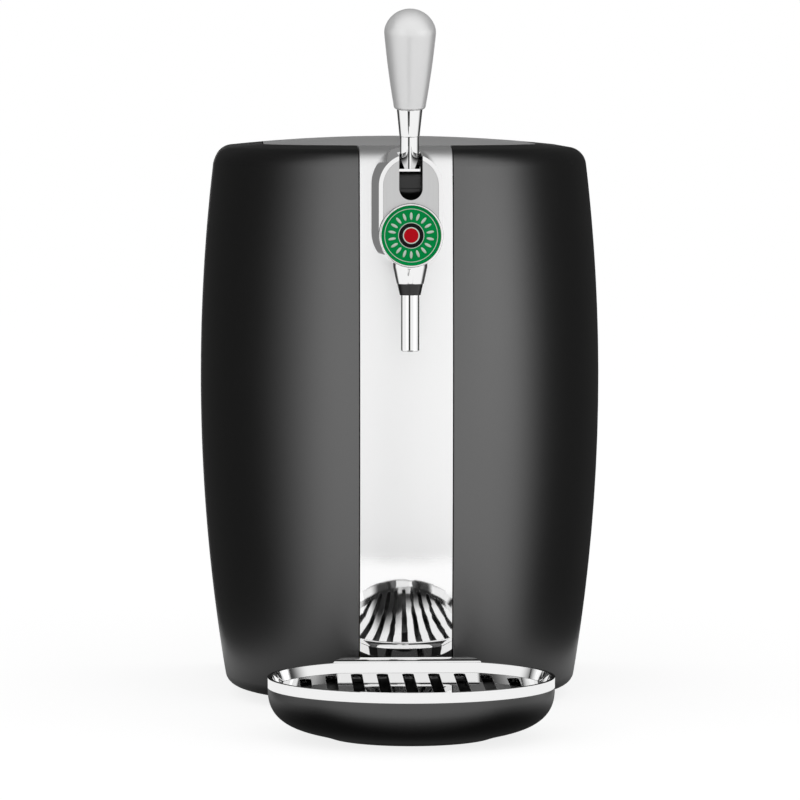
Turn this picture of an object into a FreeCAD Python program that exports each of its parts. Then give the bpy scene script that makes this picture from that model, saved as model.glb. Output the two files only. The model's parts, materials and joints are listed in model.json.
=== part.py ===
import FreeCAD, Part
import math
import os
import re
import Sketcher

# Mini keg dispenser. Millimetres, +Z up, -Y is the front.
# Every piece is drawn from the barrel's own upright axis, and its Placement then moves it
# so that the whole object's origin is the middle of its footprint.

V = FreeCAD.Vector
X, Y, Z = V(1, 0, 0), V(0, 1, 0), V(0, 0, 1)
ALONG_Y = FreeCAD.Rotation(X, -90)   # an upright shape laid along +Y
ALONG_X = FreeCAD.Rotation(Y, 90)    # an upright shape laid along +X

SIZES = {
    # barrel-shaped casing
    "body_half": 134.5,        # half width at the belly
    "barrel_radius": 1220.0,   # upright curve of the sides
    "belly_z": 213.0,          # height of the widest place
    "base_z": 6.5,
    "base_round": 9.0,
    "top_z": 370.0,
    "shoulder_round": 13.0,
    "crown_radius": 1100.0,    # slight dome of the top
    "rear_face": 157.0,
    "rear_round": 8.0,
    "casing_wall": 3.0,
    "strip_half": 30.0,        # half width of the bright band
    "strip_gap": 0.8,
    "rear_cover_half": 101.0,
    "seam_gap": 0.5,
    "mouth_lip": 3.0,          # width of the casing's turned-in edge below
    "mouth_rear_wall": 9.0,
    "mouth_rear_y": "=rear_face - mouth_rear_wall",
    "mouth_round": 7.0,
    "louvre_rows": 15,
    "louvre_pitch": 12.0,
    "louvre_height": 4.5,
    "louvre_half": 44.0,
    "louvre_rib": 8.0,
    "louvre_low_z": 120.0,
    "tab_width": 12.0,
    "tab_low_z": 60.0,
    "tab_high_drop": 45.0,
    "tab_high_z": "=top_z - tab_high_drop",
    # feet and base
    "foot_radius": 9.0,
    "foot_spigot_radius": 3.4,
    "foot_front_inset": 56.5,
    "foot_front_y": "=-body_half + foot_front_inset",
    "foot_rear_inset": 29.0,
    "foot_rear_y": "=rear_face - foot_rear_inset",
    "foot_front_side": 72.5,
    "foot_front_x": "=body_half - foot_front_side",
    "foot_rear_side": 42.5,
    "foot_rear_x": "=body_half - foot_rear_side",
    "pan_floor": 3.0,
    "pan_gap": 0.4,
    "boss_radius": 4.5,
    "screw_radius": 1.5,
    "screw_head_radius": 3.0,
    "screw_head_height": 2.0,
    "boss_side": 36.5,
    "boss_x": "=body_half - boss_side",
    "boss_front_y": -25.0,
    "boss_rear_inset": 62.0,
    "boss_rear_y": "=rear_face - boss_rear_inset",
    "boss_top_z": 30.0,
    # keg chamber
    "liner_radius": 89.0,
    "liner_wall": 1.6,
    "liner_floor_z": 52.0,
    "liner_drop": 6.0,
    "liner_top_z": "=lid_foot_z - liner_drop",
    "flange_radius": 101.0,
    "flange_height": 2.0,
    "pad_radius": 74.0,
    "pad_height": 4.0,
    "foam_room": 17.0,
    "foam_radius": "=body_half - foam_room",
    "foam_gap": 0.3,
    "foam_rear_y": 87.0,
    # lid
    "lid_radius": 91.5,
    "lid_gap": 1.0,
    "lid_rear_y": 100.0,
    "lid_drop": 18.0,
    "lid_foot_z": "=top_z - lid_drop",
    "lid_foam_height": 23.0,
    "panel_height": 2.4,
    "plug_radius": 86.3,
    "plug_drop": 10.0,
    "gasket_width": 4.5,
    "gasket_gap": 0.2,
    "hinge_offset": 4.0,
    "hinge_y": "=lid_rear_y + hinge_offset",
    "hinge_drop": 4.0,
    "hinge_z": "=top_z - hinge_drop",
    "hinge_pin_radius": 2.0,
    "ear_radius": 3.6,
    "knuckle_radius": 4.6,
    "knuckle_width": 16.0,
    "hinge_half_span": 66.0,
    "ear_width": 5.0,
    "cut_over": 1.0,           # how far a cutting shape runs past what it cuts
    "joint_gap": 0.4,
    "running_gap": 0.06,
    "trough_width": 15.5,
    "trough_rear_y": "=lid_rear_y + trough_width",
    "trough_drop": 20.0,
    "trough_floor_z": "=top_z - trough_drop",
    # cooling pack
    "cold_side": 49.0,
    "cold_depth": 16.0,
    "cooler_z": 200.0,
    "peltier_side": 40.0,
    "peltier_depth": 4.0,
    "sink_side": 96.0,
    "sink_base_depth": 5.0,
    "fin_depth": 18.0,
    "fin_thickness": 1.6,
    "fin_count": 16,
    "fan_gap": 0.4,
    "fan_width": 90.0,
    "fan_depth": 15.0,
    "fan_bore_radius": 42.0,
    "fan_hub_radius": 16.0,
    "fan_hole_half": 41.0,
    "fan_back": 2.6,           # thickness of the disc and arms that carry the rotor
    "rotor_depth": 9.0,
    "blade_count": 7,
    "blade_width": 9.5,
    "blade_thickness": 1.6,
    "blade_tilt": 38.0,
    "blade_gap": 1.6,
    "sink_screw_x": 22.2,
    # mains parts
    "board_half_x": 46.0,
    "board_low_y": -35.0,
    "board_high_y": 35.0,
    "board_z": 20.0,
    "board_thickness": 1.6,
    "board_hole_inset": 5.0,
    "spacer_radius": 3.0,
    "coil_height": 22.0,
    "can_radius": 5.0,
    "can_height": 18.0,
    "switch_x": 62.0,
    "switch_z": 84.0,
    "switch_half_x": 9.6,
    "switch_half_z": 6.6,
    "switch_flange": 1.8,
    "switch_lip": 1.7,
    "switch_depth": 16.0,
    "rocker_radius": 4.8,
    "rocker_inset": 0.2,
    "rocker_y": "=rear_face - rocker_inset",
    "rocker_lean": 7.0,
    "rocker_lip_angle": 45.0,
    "rocker_dish_radius": 10.0,
    "rocker_pin_radius": 1.2,
    "gland_x": -62.0,
    "gland_z": 40.0,
    "gland_radius": 5.6,
    "gland_bore": 3.6,
    "gland_flange": 2.0,
    # tap
    "snout_root": 16.5,    # inside the casing's front, which trims it
    "snout_back_y": "=-body_half + snout_root",
    "snout_reach": 71.5,
    "snout_front_y": "=-body_half - snout_reach",
    "snout_half": 20.2,
    "snout_drop": 48.4,
    "snout_low_z": "=pivot_z - snout_drop",
    "snout_rise": 23.2,
    "snout_high_z": "=pivot_z + snout_rise",
    "snout_flare": 3.4,        # how much larger the snout is where it leaves the casing
    "rim_width": 2.7,
    "face_depth": 2.0,
    "face_set_back": 0.5,
    "slot_half": 7.4,
    "slot_drop": 6.0,
    "slot_foot_z": "=pivot_z - slot_drop",
    "badge_radius": 20.2,
    "badge_drop": 28.0,
    "badge_z": "=pivot_z - badge_drop",
    "badge_height": 5.6,
    "badge_ring": 1.4,
    "disc_dome": 0.9,
    "cheek_gap": 0.4,
    "cheek_wall": 3.0,
    "cheek_top": 9.0,
    "chassis_drop": 37.0,
    "chassis_floor_z": "=pivot_z - chassis_drop",
    "chassis_reach": 11.5,
    "chassis_block_y": "=-body_half - chassis_reach",
    "chassis_screw_x": 11.5,
    "chassis_screw_low_drop": 39.0,
    "chassis_screw_low_z": "=pivot_z - chassis_screw_low_drop",
    "chassis_screw_high_drop": 5.0,
    "chassis_screw_high_z": "=pivot_z - chassis_screw_high_drop",
    "chassis_screw_low_seat": 9.0,
    "chassis_screw_low_y": "=snout_back_y - chassis_screw_low_seat",
    "chassis_screw_high_seat": 6.0,
    "chassis_screw_high_y": "=snout_back_y - chassis_screw_high_seat",
    "pivot_reach": 41.5,
    "pivot_y": "=-body_half - pivot_reach",
    "pivot_drop": 25.0,
    "pivot_z": "=top_z - pivot_drop",
    "lever_lean": 8.0,
    "hub_radius": 14.0,
    "hub_low_radius": 11.5,
    "hub_half": 6.7,
    "hub_flat": 13.0,
    "lobe_half": 2.0,
    "pin_radius": 2.5,
    "stem_radius": 6.1,
    "stem_foot_half": 3.3,
    "stem_foot_height": 7.0,
    "stem_top": 34.4,
    "stem_plate": 1.6,
    "stem_plate_half": 8.0,
    "ferrule_length": 17.4,
    "ferrule_foot_radius": 6.4,
    "ferrule_top_radius": 8.2,
    "knob_length": 63.6,
    "knob_radius": 16.5,
    "knob_foot_radius": 10.2,
    "knob_foot_round": 2.0,
    "knob_shoulder": 49.3,     # height of the knob's widest place
    "knob_flank_radius": 600.0,
    "knob_shoulder_round": 12.0,
    "plunger_gap": 0.6,
    "plunger_half": 3.0,
    "plunger_half_x": 5.5,
    "plunger_head": 2.4,
    "plunger_stem_radius": 2.0,
    "shelf_drop": 22.4,
    "shelf_z": "=pivot_z - shelf_drop",
    "shelf_height": 1.6,
    "coil_radius": 3.0,
    "coil_wire": 0.38,
    "coil_turns": 3,
    "coil_sides": 8,           # the wire is drawn with flat sides
    "spout_reach": 58.5,
    "spout_y": "=-body_half - spout_reach",
    "spout_drop": 43.0,
    "spout_top_z": "=pivot_z - spout_drop",
    "cone_shank": 5.4,
    "cone_top_z": "=spout_top_z - cone_shank",
    "cone_height": 10.7,
    "cone_foot_z": "=cone_top_z - cone_height",
    "cone_top_radius": 10.9,
    "cone_foot_radius": 8.6,
    "collar_height": 7.1,
    "collar_foot_z": "=cone_foot_z - collar_height",
    "collar_top_radius": 8.2,
    "collar_foot_radius": 6.6,
    "tube_radius": 5.85,
    "tube_bore": 4.4,
    "tube_round": 1.2,         # rounding of the tube's outer edge at its foot
    "tube_length": 35.8,
    "tube_foot_z": "=collar_foot_z - tube_length",
    "line_radius": 3.4,
    "line_bore": 2.2,
    "line_drop": 27.0,
    "line_z": "=pivot_z - line_drop",
    "line_tail": 9.0,
    "line_start_y": "=-liner_radius + line_tail",
    "line_bend": 12.0,
    "line_end_rise": 7.0,
    "line_end_z": "=tube_foot_z + line_end_rise",
    "coupler_radius": 8.0,
    "coupler_height": 14.0,
    "coupler_bore": 3.0,
    # drip tray
    "tray_half": 91.0,
    "tray_reach": 79.7,        # half depth of its oval
    "tray_offset": 77.8,
    "tray_centre_y": "=-body_half - tray_offset",
    "tray_gap": 2.5,
    "tray_rear_y": "=-body_half - tray_gap",
    "tray_rim_z": 38.5,
    "tray_floor_z": 0.6,
    "tray_wall": 2.2,
    "hull_power": 3.5,         # fullness of the rounded underside
    "hull_flat": 0.57,         # share of the oval that is flat below
    "band_height": 6.4,
    "band_wall": 2.4,
    "dish_slope": 2.2,         # how much narrower the rim is inside at its foot
    "lip_depth": 8.2,          # thickness of the rim's straight back
    "lip_radius": 4.1,
    "lip_sink": 1.2,
    "ledge_width": 6.5,
    "ledge_height": 2.0,
    "grille_height": 2.4,
    "grille_gap": 0.5,
    "grille_lift": 0.3,
    "slot_pitch": 16.6,
    "slot_width": 7.4,
    "slot_count": 9,
    "slot_margin": 11.0,
    "rail_x": 30.0,
    "rail_half": 5.0,
    "rail_height": 3.1,
    "rail_root": 39.5,
    "rail_rear_y": "=-body_half + rail_root",
    "rail_nose": 16.0,
    "rail_front_y": "=tray_centre_y - rail_nose",
    "rail_foot_nose": 6.0,
    "rail_foot_y": "=tray_centre_y - rail_foot_nose",
    "rail_foot_radius": 5.0,
    "probe_radius": 1.6,
    "probe_length": 16.0,
    "probe_tail": 2.0,         # how far the probe stands out of its block
}

doc = FreeCAD.newDocument("KegDispenser")
sheet = doc.addObject("Spreadsheet::Sheet", "Sizes")
for row, (alias, size) in enumerate(SIZES.items(), start=1):
    sheet.set("A%d" % row, alias)
    sheet.set("B%d" % row, str(size))
    sheet.setAlias("B%d" % row, alias)
doc.recompute()

# The footprint runs from the tray's front to the rocker of the switch behind.
ROCKER_REAR = "(rocker_y + rocker_radius * cos(rocker_lip_angle - rocker_lean))"
AXIS_SHIFT = "(tray_reach - tray_centre_y - %s) / 2" % ROCKER_REAR
spots = {}    # where each drawn shape stands, before the shift
nodes = []    # the finished pieces


def cells(text):
    """Every cell's name has an underscore, so each such word is looked up in the sheet."""
    return re.sub(r"\b[a-z]+_\w+", lambda word: "Sizes." + word.group(0), str(text))


def bind(item, setting, text):
    item.setExpression(setting, cells(text))


def size_of(text):
    return float(sheet.evalExpression(cells(text)))


def stand(item, at=(0, 0, 0), turn=None):
    """Puts a shape at a place given in cells, measured from the barrel's axis."""
    if turn is not None:
        item.Placement = FreeCAD.Placement(V(), turn)
    for setting, text in zip(("x", "y", "z"), at):
        bind(item, "Placement.Base." + setting, text)
    spots[item.Name] = at
    return item


def node(item, name):
    """Names a finished piece and moves it from the barrel's axis to the object's origin."""
    at = spots.get(item.Name, (0, 0, 0))
    item.Label = name
    bind(item, "Placement.Base.y", "(%s) + %s" % (at[1], AXIS_SHIFT))
    nodes.append(item)
    return item


def make(kind, name, sizes, at=(0, 0, 0), turn=None):
    item = doc.addObject(kind, name)
    for setting, text in sizes.items():
        bind(item, setting, text)
    return stand(item, at, turn)


def box(name, low, high):
    """A block between two corners given in cells."""
    spans = ["(%s) - (%s)" % (b, a) for a, b in zip(low, high)]
    return make("Part::Box", name, dict(zip(("Length", "Width", "Height"), spans)), low)


def rod(name, radius, length, at, turn=None):
    return make("Part::Cylinder", name, {"Radius": radius, "Height": length}, at, turn)


def cut(name, base, *tools):
    item = doc.addObject("Part::Cut", name)
    item.Base = base
    item.Tool = tools[0] if len(tools) == 1 else fuse(name + "_tools", *tools)
    return item


def fuse(name, *shapes):
    item = doc.addObject("Part::MultiFuse", name)
    item.Shapes = list(shapes)
    return item


def overlap(name, *shapes):
    item = doc.addObject("Part::MultiCommon", name)
    item.Shapes = list(shapes)
    return item


def group(name, *shapes):
    """Like pieces that stay separate solids in one node."""
    item = doc.addObject("Part::Compound", name)
    item.Links = list(shapes)
    return item


def tube(name, outer, inner, length, at, turn=None):
    outside = rod(name + "_outside", outer, length, at, turn)
    return cut(name, outside, rod(name + "_bore", inner, length, at, turn))


def plane_of(body, role):
    return next(f for f in body.Origin.OriginFeatures if f.Role == role)


def draw(body, role, name, points, arcs=None, lift="0"):
    """A closed outline through points given in cells.

    arcs maps a point's number to the radius of the arc from it to the next point. The arc's
    centre is on the left of that way where the radius is written as it is, and on the right
    where it comes in a list.
    """
    sketch = body.newObject("Sketcher::SketchObject", name)
    sketch.AttachmentSupport = (plane_of(body, role), "")
    sketch.MapMode = "FlatFace"
    bind(sketch, "AttachmentOffset.Base.z", lift)
    arcs = arcs or {}
    corners = [V(size_of(x), size_of(y), 0) for x, y in points]
    ends = []
    for number, start in enumerate(corners):
        finish = corners[(number + 1) % len(corners)]
        if number in arcs:
            ends.append(add_arc(sketch, start, finish, arcs[number]))
        else:
            ends.append((sketch.addGeometry(Part.LineSegment(start, finish), False), 1, 2))
    for number, point in enumerate(points):
        edge, start, _ = ends[number]
        before, _, finish = ends[number - 1]
        sketch.addConstraint(Sketcher.Constraint("Coincident", before, finish, edge, start))
        for kind, text in zip(("DistanceX", "DistanceY"), point):
            rule = Sketcher.Constraint(kind, -1, 1, edge, start, size_of(text))
            bind(sketch, "Constraints[%d]" % sketch.addConstraint(rule), text)
    return sketch


def add_arc(sketch, start, finish, radius):
    """Adds an arc and returns it with the numbers of its start and finish."""
    clockwise = isinstance(radius, list)
    text = radius[0] if clockwise else radius
    size = size_of(text)
    half = (finish - start) * 0.5
    side = Z.cross(half).normalize() * math.sqrt(max(size ** 2 - half.Length ** 2, 0))
    centre = start + half + (side * -1 if clockwise else side)
    first, last = (finish, start) if clockwise else (start, finish)
    angles = [math.atan2(p.y - centre.y, p.x - centre.x) for p in (first, last)]
    edge = sketch.addGeometry(Part.ArcOfCircle(Part.Circle(centre, Z, size), *angles), False)
    rule = sketch.addConstraint(Sketcher.Constraint("Radius", edge, size))
    bind(sketch, "Constraints[%d]" % rule, text)
    return (edge, 2, 1) if clockwise else (edge, 1, 2)


def turned(name, points, arcs=None, at=(0, 0, 0), turn=None):
    """A solid turned about its own upright axis from half an outline (radius, height)."""
    body = doc.addObject("PartDesign::Body", name)
    profile = draw(body, "XZ_Plane", name + "_profile", points, arcs)
    turning = body.newObject("PartDesign::Revolution", name + "_turning")
    turning.Profile = profile
    turning.ReferenceAxis = (profile, ["V_Axis"])
    turning.Angle = 360
    return stand(body, at, turn)


def padded(name, role, points, length, arcs=None, lift="0", back=False):
    """A body with one pad, drawn on one of its own planes."""
    body = doc.addObject("PartDesign::Body", name)
    profile = draw(body, role, name + "_profile", points, arcs, lift)
    pad = body.newObject("PartDesign::Pad", name + "_pad")
    pad.Profile = profile
    bind(pad, "Length", length)
    pad.Reversed = back
    return stand(body)


# --- casing -----------------------------------------------------------------------------

def arc_centre_x(round_size, height):
    """How far out a corner arc's centre lies, so that it runs smoothly into the barrel's side."""
    reach = "sqrt((barrel_radius - %s)^2 - (%s - belly_z)^2)" % (round_size, height)
    return "(body_half - barrel_radius + %s)" % reach


def touch_point(round_size, height, inset):
    """Where a corner arc meets the barrel's side, for a side moved in by inset."""
    share = "(barrel_radius - (%s)) / (barrel_radius - %s)" % (inset, round_size)
    reach = "sqrt((barrel_radius - %s)^2 - (%s - belly_z)^2)" % (round_size, height)
    x = "body_half - barrel_radius + %s * %s" % (reach, share)
    return x, "belly_z + (%s - belly_z) * %s" % (height, share)


def crown_base():
    """Height of the centre of the top's slight crown, which runs smoothly into the shoulder."""
    out = arc_centre_x("shoulder_round", "(top_z - shoulder_round)")
    return "(top_z - shoulder_round - sqrt((crown_radius - shoulder_round)^2 - %s^2))" % out


def barrel(name, inset):
    """The casing's outer form, or the form a wall further in: round in front, straight behind."""
    low, high = "(base_z + base_round)", "(top_z - shoulder_round)"
    share = "(crown_radius - (%s)) / (crown_radius - shoulder_round)" % inset
    side = [(arc_centre_x("base_round", low), "base_z + %s" % inset),
            touch_point("base_round", low, inset),
            touch_point("shoulder_round", high, inset),
            ("%s * %s" % (arc_centre_x("shoulder_round", high), share),
             "%s + (%s - %s) * %s" % (crown_base(), high, crown_base(), share))]
    bends = ["base_round - (%s)" % inset, "barrel_radius - (%s)" % inset,
             "shoulder_round - (%s)" % inset]
    crown = "crown_radius - (%s)" % inset
    body = doc.addObject("PartDesign::Body", name)
    half = [("0", side[0][1])] + side + [("0", "%s + %s" % (crown_base(), crown))]
    front = draw(body, "XZ_Plane", name + "_half", half, dict(zip((1, 2, 3, 4), bends + [crown])))
    round_front = body.newObject("PartDesign::Revolution", name + "_front")
    round_front.Profile = front
    round_front.ReferenceAxis = (front, ["V_Axis"])
    round_front.Angle = 180
    mirrored = [("-(%s)" % x, z) for x, z in reversed(side)]
    whole = draw(body, "XZ_Plane", name + "_outline", side + mirrored,
                 dict(zip(range(7), bends + [crown] + bends[::-1])))
    back = body.newObject("PartDesign::Pad", name + "_back")
    back.Profile = whole
    back.Reversed = True
    bind(back, "Length", "rear_face - (%s)" % inset)
    stand(body)
    doc.recompute()
    if round_front.Shape.BoundBox.YMax > 1:
        round_front.Reversed = True
        doc.recompute()
    rear = size_of("rear_face - (%s)" % inset)
    rim = ["Edge%d" % n for n, edge in enumerate(back.Shape.Edges, 1)
           if edge.BoundBox.YMin > rear - 0.01]
    edges = body.newObject("PartDesign::Fillet", name + "_rear_edges")
    edges.Base = (back, rim)
    bind(edges, "Radius", "rear_round - (%s)" % inset)
    return body


def horseshoe(name, radius, rear, low, high, corner):
    """A flat block with a round front, straight sides and rounded rear corners."""
    inset = "(%s) - (%s)" % (radius, corner)
    start = "(%s) - (%s)" % (rear, corner)
    points = [("-(%s)" % radius, "0"), ("0", "-(%s)" % radius), (radius, "0"), (radius, start),
              (inset, rear), ("-(%s)" % inset, rear), ("-(%s)" % radius, start)]
    bends = {0: radius, 1: radius, 3: corner, 5: corner}
    return padded(name, "XY_Plane", points, "(%s) - (%s)" % (high, low), bends, lift=low)


def screw(name, x, y, z, length, turn=None, room="0"):
    """A pan-head screw whose head's underside is at the given place; its shank runs along +Z."""
    head = rod(name + "_head", "screw_head_radius + %s" % room,
               "screw_head_height + %s" % room, ("0", "0", "-screw_head_height - %s" % room))
    shank = rod(name + "_shank", "screw_radius + %s" % room, length, ("0", "0", "0"))
    return stand(fuse(name, head, shank), (x, y, z), turn)


FAR = "body_half * 2"
BACKWARDS = FreeCAD.Rotation(X, 90)      # an upright shape laid along -Y


def casing(outer, inner):
    shell = cut("casing_shell", outer, inner,
                horseshoe("top_mouth", "lid_radius + lid_gap", "mouth_rear_y",
                          "top_z - shoulder_round", "top_z + shoulder_round", "mouth_round"),
                horseshoe("floor_mouth", bottom_reach("-mouth_lip"), "mouth_rear_y - mouth_lip",
                          "base_z - cut_over", "base_z + base_round", "mouth_round"))
    front_zone = box("strip_zone", ("-strip_half", "-" + FAR, "0"), ("strip_half", "0", FAR + " * 2"))
    gap_zone = box("strip_gap_zone", ("-strip_half - strip_gap", "-" + FAR, "0"),
                   ("strip_half + strip_gap", "0", FAR + " * 2"))
    rear_zone = box("rear_zone", ("-rear_cover_half", "rear_face - rear_round", "0"),
                    ("rear_cover_half", FAR, FAR + " * 2"))
    rear_gap = box("rear_gap_zone", ("-rear_cover_half - seam_gap", "rear_face - rear_round", "0"),
                   ("rear_cover_half + seam_gap", FAR, FAR + " * 2"))
    screw_room = [screw("band_hole_" + tag, x, y, z, "cold_depth", BACKWARDS, room="running_gap")
                  for tag, x, y, z in chassis_screws()]
    node(cut("front_band", overlap("front_band_block", shell, front_zone), *screw_room,
             line_passage("band_line_hole")), "front_strip")
    for side, name in ((-1, "left"), (1, "right")):
        edge = (str(side * 2) + " * body_half", "0")
        half = box(name + "_zone", (min(edge, key=lambda t: size_of(t)), "-" + FAR, "0"),
                   (max(edge, key=lambda t: size_of(t)), FAR, FAR + " * 2"))
        wall = cut(name + "_wall", overlap(name + "_half", shell, half), gap_zone, rear_gap)
        panel = fuse(name + "_with_bosses", wall, *panel_bosses(name, side))
        holes = [rod("%s_boss_hole_%s" % (name, end), "screw_radius", "boss_top_z",
                     (boss_x(side), "boss_%s_y" % end, "base_z")) for end in ("front", "rear")]
        holes += [screw("%s_tab_hole_%s" % (name, end), tab_x(side), "rear_face - screw_head_height",
                        "tab_%s_z" % end, "tab_width", BACKWARDS) for end in ("low", "high")]
        node(cut(name + "_panel", panel, *holes), name + "_side_panel")
    node(rear_cover(overlap("rear_plate", shell, rear_zone)), "rear_cover")
    base()


def bottom_reach(change):
    return "%s + (%s)" % (arc_centre_x("base_round", "(base_z + base_round)"), change)


def boss_x(side):
    return "%d * boss_x" % side


def tab_x(side):
    return "%d * (rear_cover_half - tab_width / 2)" % side


def between(first, second):
    """Two cell expressions, the lower one first."""
    return sorted((first, second), key=size_of)


def panel_bosses(name, side):
    """Screw bosses low on a side panel and the two tabs behind the rear cover."""
    made = []
    low = "base_z + base_round"
    for end in ("front", "rear"):
        y = "boss_%s_y" % end
        made.append(rod("%s_boss_%s" % (name, end), "boss_radius", "boss_top_z - (%s)" % low,
                        (boss_x(side), y, low)))
        bend = "boss_front_y - casing_wall / 2" if end == "front" else "0"
        reach = "%d * (sqrt((%s)^2 - (%s)^2) - casing_wall / 4)" % (side, bottom_reach("base_round"), bend)
        near, far = between(boss_x(side), reach)
        made.append(box("%s_rib_%s" % (name, end), (near, y + " - casing_wall / 2", low),
                        (far, y + " + casing_wall / 2", "boss_top_z")))
    inner_face = "rear_face - casing_wall"
    for end in ("low", "high"):
        z = "tab_%s_z" % end
        tip = "%d * (rear_cover_half - tab_width)" % side
        root = "%d * (rear_cover_half + tab_width)" % side
        seam = "%d * (rear_cover_half + seam_gap * 2)" % side
        near, far = between(tip, root)
        made.append(box("%s_tab_%s" % (name, end),
                        (near, inner_face + " - casing_wall - pan_gap", z + " - tab_width / 2"),
                        (far, inner_face + " - pan_gap", z + " + tab_width / 2")))
        near, far = between(seam, root)
        made.append(box("%s_tab_root_%s" % (name, end),
                        (near, inner_face + " - casing_wall", z + " - tab_width / 2"),
                        (far, inner_face + " + casing_wall / 2", z + " + tab_width / 2")))
    return made


def rear_cover(plate):
    louvres = []
    for row in range(int(size_of("louvre_rows"))):
        z = "louvre_low_z + %d * louvre_pitch" % row
        for side in (-1, 1):
            near, far = between("%d * louvre_rib / 2" % side, "%d * (louvre_rib / 2 + louvre_half)" % side)
            louvres.append(box("louvre_%d_%d" % (row, side + 1), (near, "rear_face - casing_wall * 2", z),
                               (far, "rear_face + cut_over", z + " + louvre_height")))
    holes, screws = [], []
    for side in (-1, 1):
        for end in ("low", "high"):
            at = (tab_x(side), "rear_face - screw_head_height", "tab_%s_z" % end)
            tag = "%s_%d" % (end, side + 1)
            holes.append(screw("cover_hole_" + tag, *at, "tab_width", BACKWARDS, room="running_gap"))
            screws.append(screw("cover_screw_" + tag, *at, "casing_wall * 2", BACKWARDS))
    node(group("cover_screws", *screws), "rear_cover_screws")
    holes.append(switch_zone("switch_cutout", "running_gap", "rear_face - rear_round",
                             "rear_face + cut_over"))
    holes.append(rod("gland_cutout", "gland_radius", "rear_round",
                     ("gland_x", "rear_face + cut_over", "gland_z"), BACKWARDS))
    return cut("rear_cover_cut", plate, *louvres, *holes)


def base():
    """The floor plate, which laps over the casing's turned-in edge, with its feet and screws."""
    plug = horseshoe("pan_plug", bottom_reach("-mouth_lip - pan_gap"), "mouth_rear_y - mouth_lip - pan_gap",
                     "base_z", "base_z + casing_wall + pan_gap", "mouth_round - pan_gap")
    lap = horseshoe("pan_lap", bottom_reach("mouth_lip / 2"), "mouth_rear_y",
                    "base_z + casing_wall + pan_gap", "base_z + casing_wall + pan_gap + pan_floor",
                    "mouth_round")
    holes, feet, screws = [], [], []
    for side in (-1, 1):
        for end in ("front", "rear"):
            tag = "%s_%d" % (end, side + 1)
            x, y = "%d * foot_%s_x" % (side, end), "foot_%s_y" % end
            holes.append(rod("foot_hole_" + tag, "foot_spigot_radius + running_gap", "base_z * 2",
                             (x, y, "base_z - cut_over")))
            pad = rod("foot_pad_" + tag, "foot_radius", "base_z", (x, y, "0"))
            spigot = rod("foot_spigot_" + tag, "foot_spigot_radius", "base_z", (x, y, "base_z / 2"))
            feet.append(fuse("foot_" + tag, pad, spigot))
            at = (boss_x(side), "boss_%s_y" % end, "base_z + screw_head_height")
            holes.append(screw("pan_hole_" + tag, *at, "base_z * 2", room="running_gap"))
            screws.append(screw("pan_screw_" + tag, *at, "base_z * 2"))
        feet.append(rod("rail_foot_%d" % side, "rail_foot_radius", "base_z - rail_height",
                        ("%d * rail_x" % side, "rail_foot_y", "0")))
    node(cut("pan", fuse("pan_plate", plug, lap), *holes), "base_pan")
    node(group("feet", *feet), "rubber_feet")
    node(group("pan_screws", *screws), "base_screws")


# --- lid and top ------------------------------------------------------------------------

def lid(outer, inner):
    skirt = overlap("lid_outside", outer, horseshoe("lid_plan", "lid_radius", "lid_rear_y",
                                                    "lid_foot_z", "top_z * 1.1", "mouth_round"))
    hollow = overlap("lid_inside", inner,
                     horseshoe("lid_hollow", "lid_radius - casing_wall", "lid_rear_y - casing_wall",
                               "lid_foot_z - cut_over", "top_z * 1.1", "mouth_round - casing_wall"))
    knuckles, bores, pins = [], [], []
    for side in (-1, 1):
        near, far = between("%d * (hinge_half_span - knuckle_width)" % side,
                            "%d * hinge_half_span" % side)
        tag = str(side + 1)
        knuckles.append(rod("knuckle_" + tag, "knuckle_radius", "knuckle_width",
                            (near, "hinge_y", "hinge_z"), ALONG_X))
        knuckles.append(box("knuckle_arm_" + tag,
                            (near, "lid_rear_y - casing_wall", "hinge_z - knuckle_radius"),
                            (far, "hinge_y", "hinge_z + knuckle_radius")))
        bores.append(rod("knuckle_bore_" + tag, "hinge_pin_radius + running_gap", "hinge_half_span * 3",
                         ("-hinge_half_span * 3 / 2", "hinge_y", "hinge_z"), ALONG_X))
        near, far = between("%d * (hinge_half_span - knuckle_width)" % side,
                            "%d * (hinge_half_span + joint_gap + ear_width)" % side)
        pins.append(rod("hinge_pin_" + tag, "hinge_pin_radius", "(%s) - (%s)" % (far, near),
                        (near, "hinge_y", "hinge_z"), ALONG_X))
    cover = cut("lid_shell", skirt, hollow)
    node(cut("lid_bored", fuse("lid_with_knuckles", cover, *knuckles), *bores), "lid_cover")
    node(group("hinge_pins", *pins), "lid_hinge_pins")
    plate = horseshoe("lid_plate", "lid_radius - casing_wall", "lid_rear_y - casing_wall", "lid_foot_z",
                      "lid_foot_z + panel_height", "mouth_round - casing_wall")
    plug = rod("lid_plug", "plug_radius", "plug_drop + panel_height", ("0", "0", "lid_foot_z - plug_drop"))
    well_floor = "lid_foot_z - plug_drop + panel_height"
    well = rod("lid_well", "plug_radius - panel_height", "top_z", ("0", "0", well_floor))
    node(cut("lid_lining", fuse("lid_lining_block", plate, plug), well), "lid_inner_panel")
    node(rod("lid_filling", "plug_radius - panel_height - foam_gap", "lid_foam_height",
             ("0", "0", well_floor)), "lid_foam")
    seal_foot = "liner_top_z + gasket_gap"
    node(tube("lid_seal", "plug_radius + gasket_width", "plug_radius", "lid_foot_z - (%s)" % seal_foot,
              ("0", "0", seal_foot)), "lid_gasket")


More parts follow.
